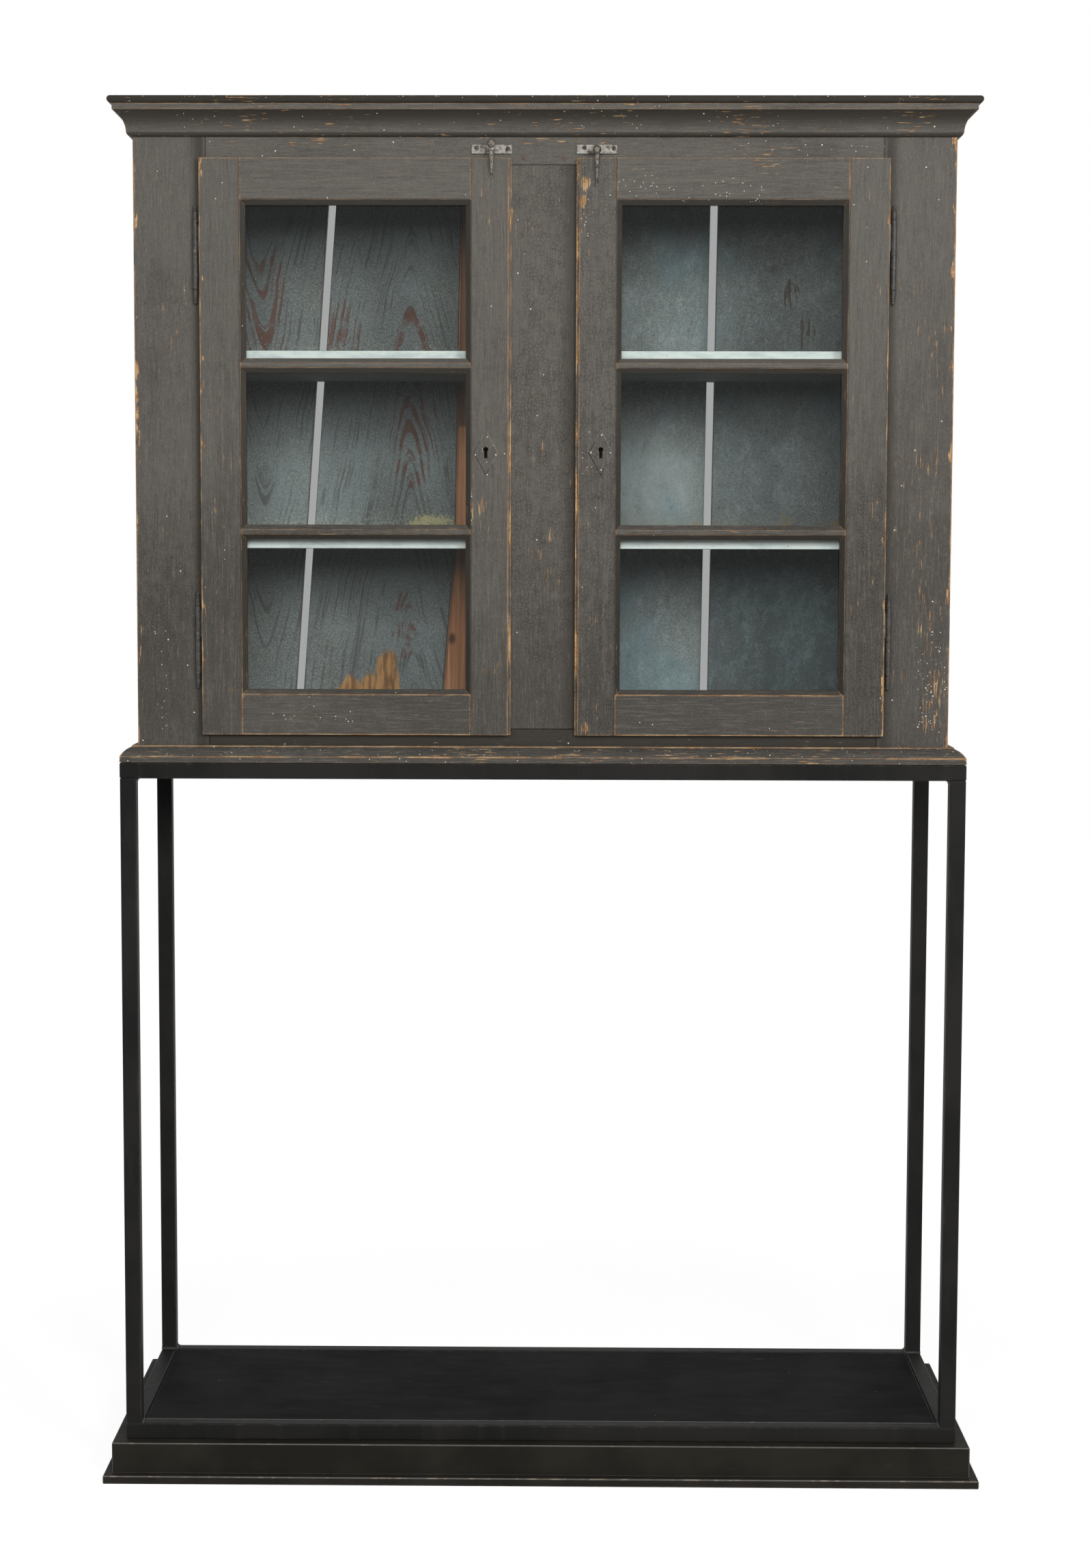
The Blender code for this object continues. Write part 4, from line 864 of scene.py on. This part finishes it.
# The panes are old drawn glass, a little grey and wavy, bedded in the rebates behind the bars.
# Lamp light passes through them, so that the shelves behind are lit.
def pane_finish():
    finish, place = begin("old_glass")
    wave = mottle(scaled(place, (1.0, 1.0, 0.5)), 9.0, 1.0)
    normal = place.node("Bump", {}, {"Strength": 0.15, "Distance": 0.002, "Height": wave})
    glass = place.node("BsdfPrincipled", {}, {
        "Base Color": colour(0.80, 0.83, 0.82),
        "Roughness": 0.0,
        "IOR": 1.25,
        "Transmission Weight": 1.0,
        "Normal": normal,
    })
    clear = place.node("BsdfTransparent", {}, {"Color": colour(0.97, 0.985, 0.98)})
    lamp = place.node("LightPath", {}, {}, "Is Shadow Ray")
    passed = lamp | lamp.also("Is Diffuse Ray")
    shader = place.node("MixShader", {}, {0: passed, 1: glass, 2: clear})
    place.node("OutputMaterial", {}, {"Surface": shader})
    return finish


PANE = pane_finish()
ROWS = (1, 2, 3)
for hand in HANDS:
    for row in ROWS:
        dress(PANE, f"{hand}_pane_{row}")


# Linseed putty holds each pane in its rebate from behind.
# It was pressed in and struck off with a knife to a slope, and was painted with the door.
PUTTY_LAP = 0.0045
PUTTY_DEPTH = 0.0040


def putty_finish():
    finish, place = begin("painted_putty")
    lump = mottle(place, 90.0, 4.0, 0.6)
    grime = mottle(place, 240.0, 4.0, 0.7)
    paint = blend(fade(grime, 0.4, 0.62), colour(0.055, 0.050, 0.044), colour(0.115, 0.105, 0.092))
    paint = blend(fade(lump, 0.62, 0.70) * 0.7, paint, colour(0.42, 0.38, 0.30))
    sockets = {"Base Color": paint, "Roughness": 0.62 + 0.25 * grime, "Specular IOR Level": PAINT_SHEEN}
    return end(finish, place, sockets, lump + 0.3 * grime, 0.0012)


PUTTY = putty_finish()
for hand in HANDS:
    beads = bmesh.new()
    for row in ROWS:
        low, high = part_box(f"{hand}_pane_{row}")
        corners = ((low.x, low.z), (high.x, low.z), (high.x, high.z), (low.x, high.z))
        sheet = beads.faces.new([beads.verts.new((x, high.y, z)) for x, z in corners])
        outer = list(sheet.edges)
        bmesh.ops.inset_region(
            beads, faces=[sheet], thickness=PUTTY_LAP, use_even_offset=True, use_boundary=True
        )
        inner = list(sheet.edges)
        bmesh.ops.delete(beads, geom=[sheet], context="FACES_ONLY")
        wall = bmesh.ops.extrude_edge_only(beads, edges=outer)["geom"]
        bmesh.ops.translate(beads, verts=points(wall), vec=(0, PUTTY_DEPTH, 0))
        bmesh.ops.bridge_loops(beads, edges=lines(wall) + inner)
    bmesh.ops.subdivide_edges(beads, edges=beads.edges[:], cuts=2, use_grid_fill=True)
    bmesh.ops.recalc_face_normals(beads, faces=beads.faces)
    keep(f"{hand}_putty", beads, PUTTY, f"{hand}_door")


# The hinges are turned iron barrels with finials, let into the door and the frame, and painted over.
# The paint has chipped to cream and rust on the beads and the finials.
def hinge_finish():
    finish, place = begin("hinge_paint")
    grime = mottle(place, 160.0, 4.0, 0.65)
    rubbed = fade(arris(place, 0.0016) * 1.6 + mottle(place, 260.0, 3.0), 0.86, 1.0)
    paint = blend(fade(grime, 0.38, 0.62), colour(0.028, 0.026, 0.023), colour(0.058, 0.054, 0.048))
    paint = blend(rubbed * 0.6, paint, colour(0.20, 0.155, 0.115))
    paint = blend(specks(place, 300.0, 0.2, 0.10), paint, colour(0.66, 0.60, 0.48))
    sockets = {"Base Color": paint, "Roughness": 0.28 + 0.25 * grime, "Specular IOR Level": 0.45}
    return end(finish, place, sockets, grime, 0.0004)


HINGE = hinge_finish()
for hand in HANDS:
    for level in ("lower", "upper"):
        dress(HINGE, f"{hand}_{level}_hinge_frame_half", f"{hand}_{level}_hinge_door_half")


# Each lock is an iron case on the inner face of the lock stile, with a bolt that enters the post.
# The iron is dark and a little rusty, and brighter where the bolt slides.
def iron_finish():
    finish, place = begin("lock_iron")
    rust = mottle(place, 110.0, 5.0, 0.68)
    rubbed = fade(arris(place, 0.002) * 1.8 + mottle(place, 200.0, 3.0), 0.85, 1.0)
    iron = blend(fade(rust, 0.42, 0.62), colour(0.075, 0.07, 0.067), colour(0.125, 0.075, 0.048))
    iron = blend(rubbed * 0.7, iron, colour(0.28, 0.27, 0.26))
    bright = 0.85 - 0.5 * fade(rust, 0.45, 0.65)
    sockets = {"Base Color": iron, "Metallic": bright, "Roughness": 0.42 + 0.35 * rust}
    return end(finish, place, sockets, rust, 0.0004)


LOCK_IRON = iron_finish()
for hand in HANDS:
    dress(LOCK_IRON, f"{hand}_lock_case", f"{hand}_lock_bolt")


# Four small pins with domed heads hold each lozenge escutcheon to its lock stile.
# They were painted over with the door and have worn bright.
NAIL_RADIUS = 0.0013
NAIL_PROUD = 0.0007
NAIL_ROUNDING = 0.0006
NAIL_PLACES = {
    "left": ((-0.0858, 1.6334), (-0.1040, 1.6063), (-0.0727, 1.6064), (-0.0862, 1.5762)),
    "right": ((0.0893, 1.6368), (0.0727, 1.6098), (0.1030, 1.6098), (0.0885, 1.5838)),
}


def bright_finish(name, dark, light, sheen):
    """Small bare steel heads, pale where they are rubbed and brown in their corners."""
    finish, place = begin(name)
    tarnish = mottle(place, 900.0, 4.0, 0.65)
    steel = blend(fade(tarnish, 0.38, 0.62), colour(*light), colour(*dark))
    sockets = {"Base Color": steel, "Metallic": sheen, "Roughness": 0.38 + 0.25 * tarnish}
    return end(finish, place, sockets, tarnish, 0.0001)


NAIL = bright_finish("pin_heads", (0.42, 0.38, 0.32), (0.78, 0.75, 0.70), 0.4)
for hand, places in NAIL_PLACES.items():
    heads = bmesh.new()
    face_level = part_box(f"{hand}_door_lock_stile")[0].y
    for x, z in places:
        stud(heads, x, face_level, z, NAIL_RADIUS, NAIL_PROUD, NAIL_ROUNDING)
    keep(f"{hand}_escutcheon_pins", heads, NAIL, f"{hand}_door")


# Each turn latch is a steel strap screwed to the top rail, and a forged finger that turns on its stud.
# The steel is bare, dull and tarnished brown, with brighter edges.
def steel_finish(name, dark, light):
    finish, place = begin(name)
    tarnish = mottle(place, 210.0, 5.0, 0.68)
    brushed = mottle(scaled(place, (0.08, 1.0, 1.0)), 1500.0, 3.0)
    rubbed = fade(arris(place, 0.0014) * 1.8 + mottle(place, 300.0, 3.0), 0.85, 1.02)
    steel = blend(fade(tarnish, 0.42, 0.64), colour(*light), colour(*dark))
    steel = blend(rubbed * 0.6, steel, colour(0.48, 0.46, 0.43))
    sockets = {"Base Color": steel, "Metallic": 0.9, "Roughness": 0.36 + 0.25 * tarnish + 0.1 * brushed}
    return end(finish, place, sockets, tarnish + 0.3 * brushed, 0.00025)


plate_steel = steel_finish("latch_plate_steel", (0.110, 0.097, 0.079), (0.33, 0.315, 0.285))
left_finger_steel = steel_finish("left_finger_steel", (0.080, 0.066, 0.053), (0.31, 0.285, 0.25))
right_finger_steel = steel_finish("right_finger_steel", (0.047, 0.038, 0.029), (0.23, 0.205, 0.178))
dress(plate_steel, "left_latch_plate", "right_latch_plate")
dress(left_finger_steel, "left_latch_finger")
dress(right_finger_steel, "right_latch_finger")


# A slotted screw at each end holds the strap of a latch to the top rail.
# Its head is countersunk, turned from steel, and the slot has filled with dirt.
SCREW_RADIUS = 0.0034
SCREW_PROUD = 0.0009
SCREW_ROUNDING = 0.0005
SLOT_HALF = 0.0005
SLOT_DEPTH = 0.0008
STRAP_THICKNESS = 0.0025
SCREW_PLACES = (
    ("left", -0.1027, 2.0702, 1.2), ("left", -0.0552, 2.0689, 0.7),
    ("right", 0.0613, 2.0707, 0.5), ("right", 0.1061, 2.0697, 1.0),
)


def crown(form, before):
    """The new faces that look straight ahead."""
    return [face for face in set(form.faces) - before if face.normal.y < -0.98]


def screw_head(form, x, y, z, turn):
    """Adds a slotted head. turn is the angle of the slot from level."""
    before = set(form.faces)
    stud(form, x, y, z, SCREW_RADIUS, SCREW_PROUD, SCREW_ROUNDING)
    across = Vector((-math.sin(turn), 0, math.cos(turn)))
    middle = Vector((x, y, z))
    for sign in (-1, 1):
        top = crown(form, before)
        edges = [edge for face in top for edge in face.edges]
        verts = [vert for face in top for vert in face.verts]
        side = middle + across * sign * SLOT_HALF
        bmesh.ops.bisect_plane(form, geom=list(set(top + edges + verts)), plane_co=side, plane_no=across)
    form.normal_update()
    top = crown(form, before)
    slot = [face for face in top if abs((face.calc_center_median() - middle).dot(across)) < SLOT_HALF / 2]
    sunk = bmesh.ops.extrude_face_region(form, geom=slot)["geom"]
    bmesh.ops.translate(form, verts=points(sunk), vec=(0, SLOT_DEPTH, 0))


SCREW = bright_finish("screw_heads", (0.035, 0.029, 0.023), (0.15, 0.13, 0.105), 0.8)
screws = bmesh.new()
for hand, x, z, turn in SCREW_PLACES:
    strap_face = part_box(f"{hand}_latch_plate")[1].y - STRAP_THICKNESS
    screw_head(screws, x, strap_face, z, turn)
bmesh.ops.recalc_face_normals(screws, faces=screws.faces)
keep("latch_screws", screws, SCREW, "case")


# The cabinet stands on a plain white studio floor before a white world. Two soft lamps light it, one from
# the front and one from the right, and only the second leaves highlights on the turned iron.
# Camera, mirror and glass rays meet the world as white, and the floor keeps the soft shadow of the base.
AMBIENT = 0.14
THROUGH_GLASS = 0.45
FLOOR_HALF = 9.0
FLOOR_SHARE = 0.25
FLOOR_GLOW = (0.90, 1.0)
FLOOR_FADE = (0.9, 2.4)
LAMP_AIM = (0.0, 0.0, 1.5)


def seen_white(tree):
    """How bright the background is for rays that show it, and 0 for rays that carry light."""
    camera = Tone(tree).node("LightPath", {}, {}, "Is Camera Ray")
    through = 1 - (1 - THROUGH_GLASS) * camera.also("Is Transmission Ray")
    return camera | camera.also("Is Glossy Ray") * through


world = bpy.data.worlds.new("studio")
world.use_nodes = True
world.node_tree.nodes.clear()
bright = seen_white(world.node_tree)
white = {"Color": colour(1.0, 1.0, 1.0), "Strength": bright | AMBIENT}
bright.node("OutputWorld", {}, {"Surface": bright.node("Background", {}, white)})
bpy.context.scene.world = world

floor_form = bmesh.new()
bmesh.ops.create_grid(floor_form, x_segments=1, y_segments=1, size=FLOOR_HALF)
floor_mesh = bpy.data.meshes.new("studio_floor")
floor_form.to_mesh(floor_mesh)
floor_form.free()
studio_floor = bpy.data.objects.new("studio_floor", floor_mesh)
bpy.context.scene.collection.objects.link(studio_floor)
floor_finish, floor_place = begin("studio_floor_white")
shown = seen_white(floor_finish.node_tree)
away = floor_place.node("VectorMath", {"operation": "LENGTH"}, {0: floor_place}, "Value")
floor_level = FLOOR_GLOW[0] + (FLOOR_GLOW[1] - FLOOR_GLOW[0]) * fade(away, *FLOOR_FADE)
glow = blend(shown * floor_level, colour(0.0, 0.0, 0.0), colour(1.0, 1.0, 1.0))
floor_shader = floor_place.node("BsdfPrincipled", {}, {
    "Base Color": colour(FLOOR_SHARE, FLOOR_SHARE, FLOOR_SHARE),
    "Roughness": 0.9,
    "Specular IOR Level": 0.0,
    "Emission Color": glow,
    "Emission Strength": 1.0,
})
floor_place.node("OutputMaterial", {}, {"Surface": floor_shader})
floor_mesh.materials.append(floor_finish)


def lamp(name, place, size, power, mirrored):
    """A soft lamp. One that is not mirrored leaves no image of itself in the panes."""
    data = bpy.data.lights.new(name, "AREA")
    data.shape = "RECTANGLE"
    data.size, data.size_y = size
    data.energy = power
    made = bpy.data.objects.new(name, data)
    made.location = place
    made.rotation_euler = (Vector(LAMP_AIM) - Vector(place)).to_track_quat("-Z", "Y").to_euler()
    made.visible_camera = False
    made.visible_glossy = mirrored
    made.visible_transmission = mirrored
    bpy.context.scene.collection.objects.link(made)


lamp("key_lamp", (1.8, -4.0, 2.6), (1.0, 1.3), 66.0, True)
lamp("front_lamp", (-0.1, -4.5, 2.4), (1.5, 1.3), 126.0, False)


# The camera stands about 4.2 m in front of the doors at eye height and looks slightly down.
# Its axis is left of the middle of the picture, as in a picture that was cropped.
CAMERA_PLACE = Vector((0.0024, -4.3648, 1.4617))
CAMERA_YAW = math.radians(-0.673)
CAMERA_PITCH = math.radians(4.938)
CAMERA_ROLL = math.radians(0.131)
FOCAL_PIXELS = 3971.0
PICTURE_WIDTH = 1596
PICTURE_HEIGHT = 2296
AXIS_PIXEL = 749.7

level = math.cos(CAMERA_PITCH)
ahead = Vector((math.sin(CAMERA_YAW) * level, math.cos(CAMERA_YAW) * level, -math.sin(CAMERA_PITCH)))
right = Vector((math.cos(CAMERA_YAW), -math.sin(CAMERA_YAW), 0.0))
above = right.cross(ahead)
right_rolled = math.cos(CAMERA_ROLL) * right + math.sin(CAMERA_ROLL) * above
above_rolled = -math.sin(CAMERA_ROLL) * right + math.cos(CAMERA_ROLL) * above
lens = bpy.data.cameras.new("photo_camera")
lens.sensor_width = 36.0
lens.lens = FOCAL_PIXELS * lens.sensor_width / PICTURE_HEIGHT
lens.shift_x = (PICTURE_WIDTH / 2 - AXIS_PIXEL) / PICTURE_HEIGHT
camera = bpy.data.objects.new("photo_camera", lens)
turned = Matrix((right_rolled, above_rolled, -ahead)).transposed().to_4x4()
camera.matrix_world = Matrix.Translation(CAMERA_PLACE) @ turned
bpy.context.scene.collection.objects.link(camera)
bpy.context.scene.camera = camera
bpy.context.scene.view_settings.view_transform = "Standard"
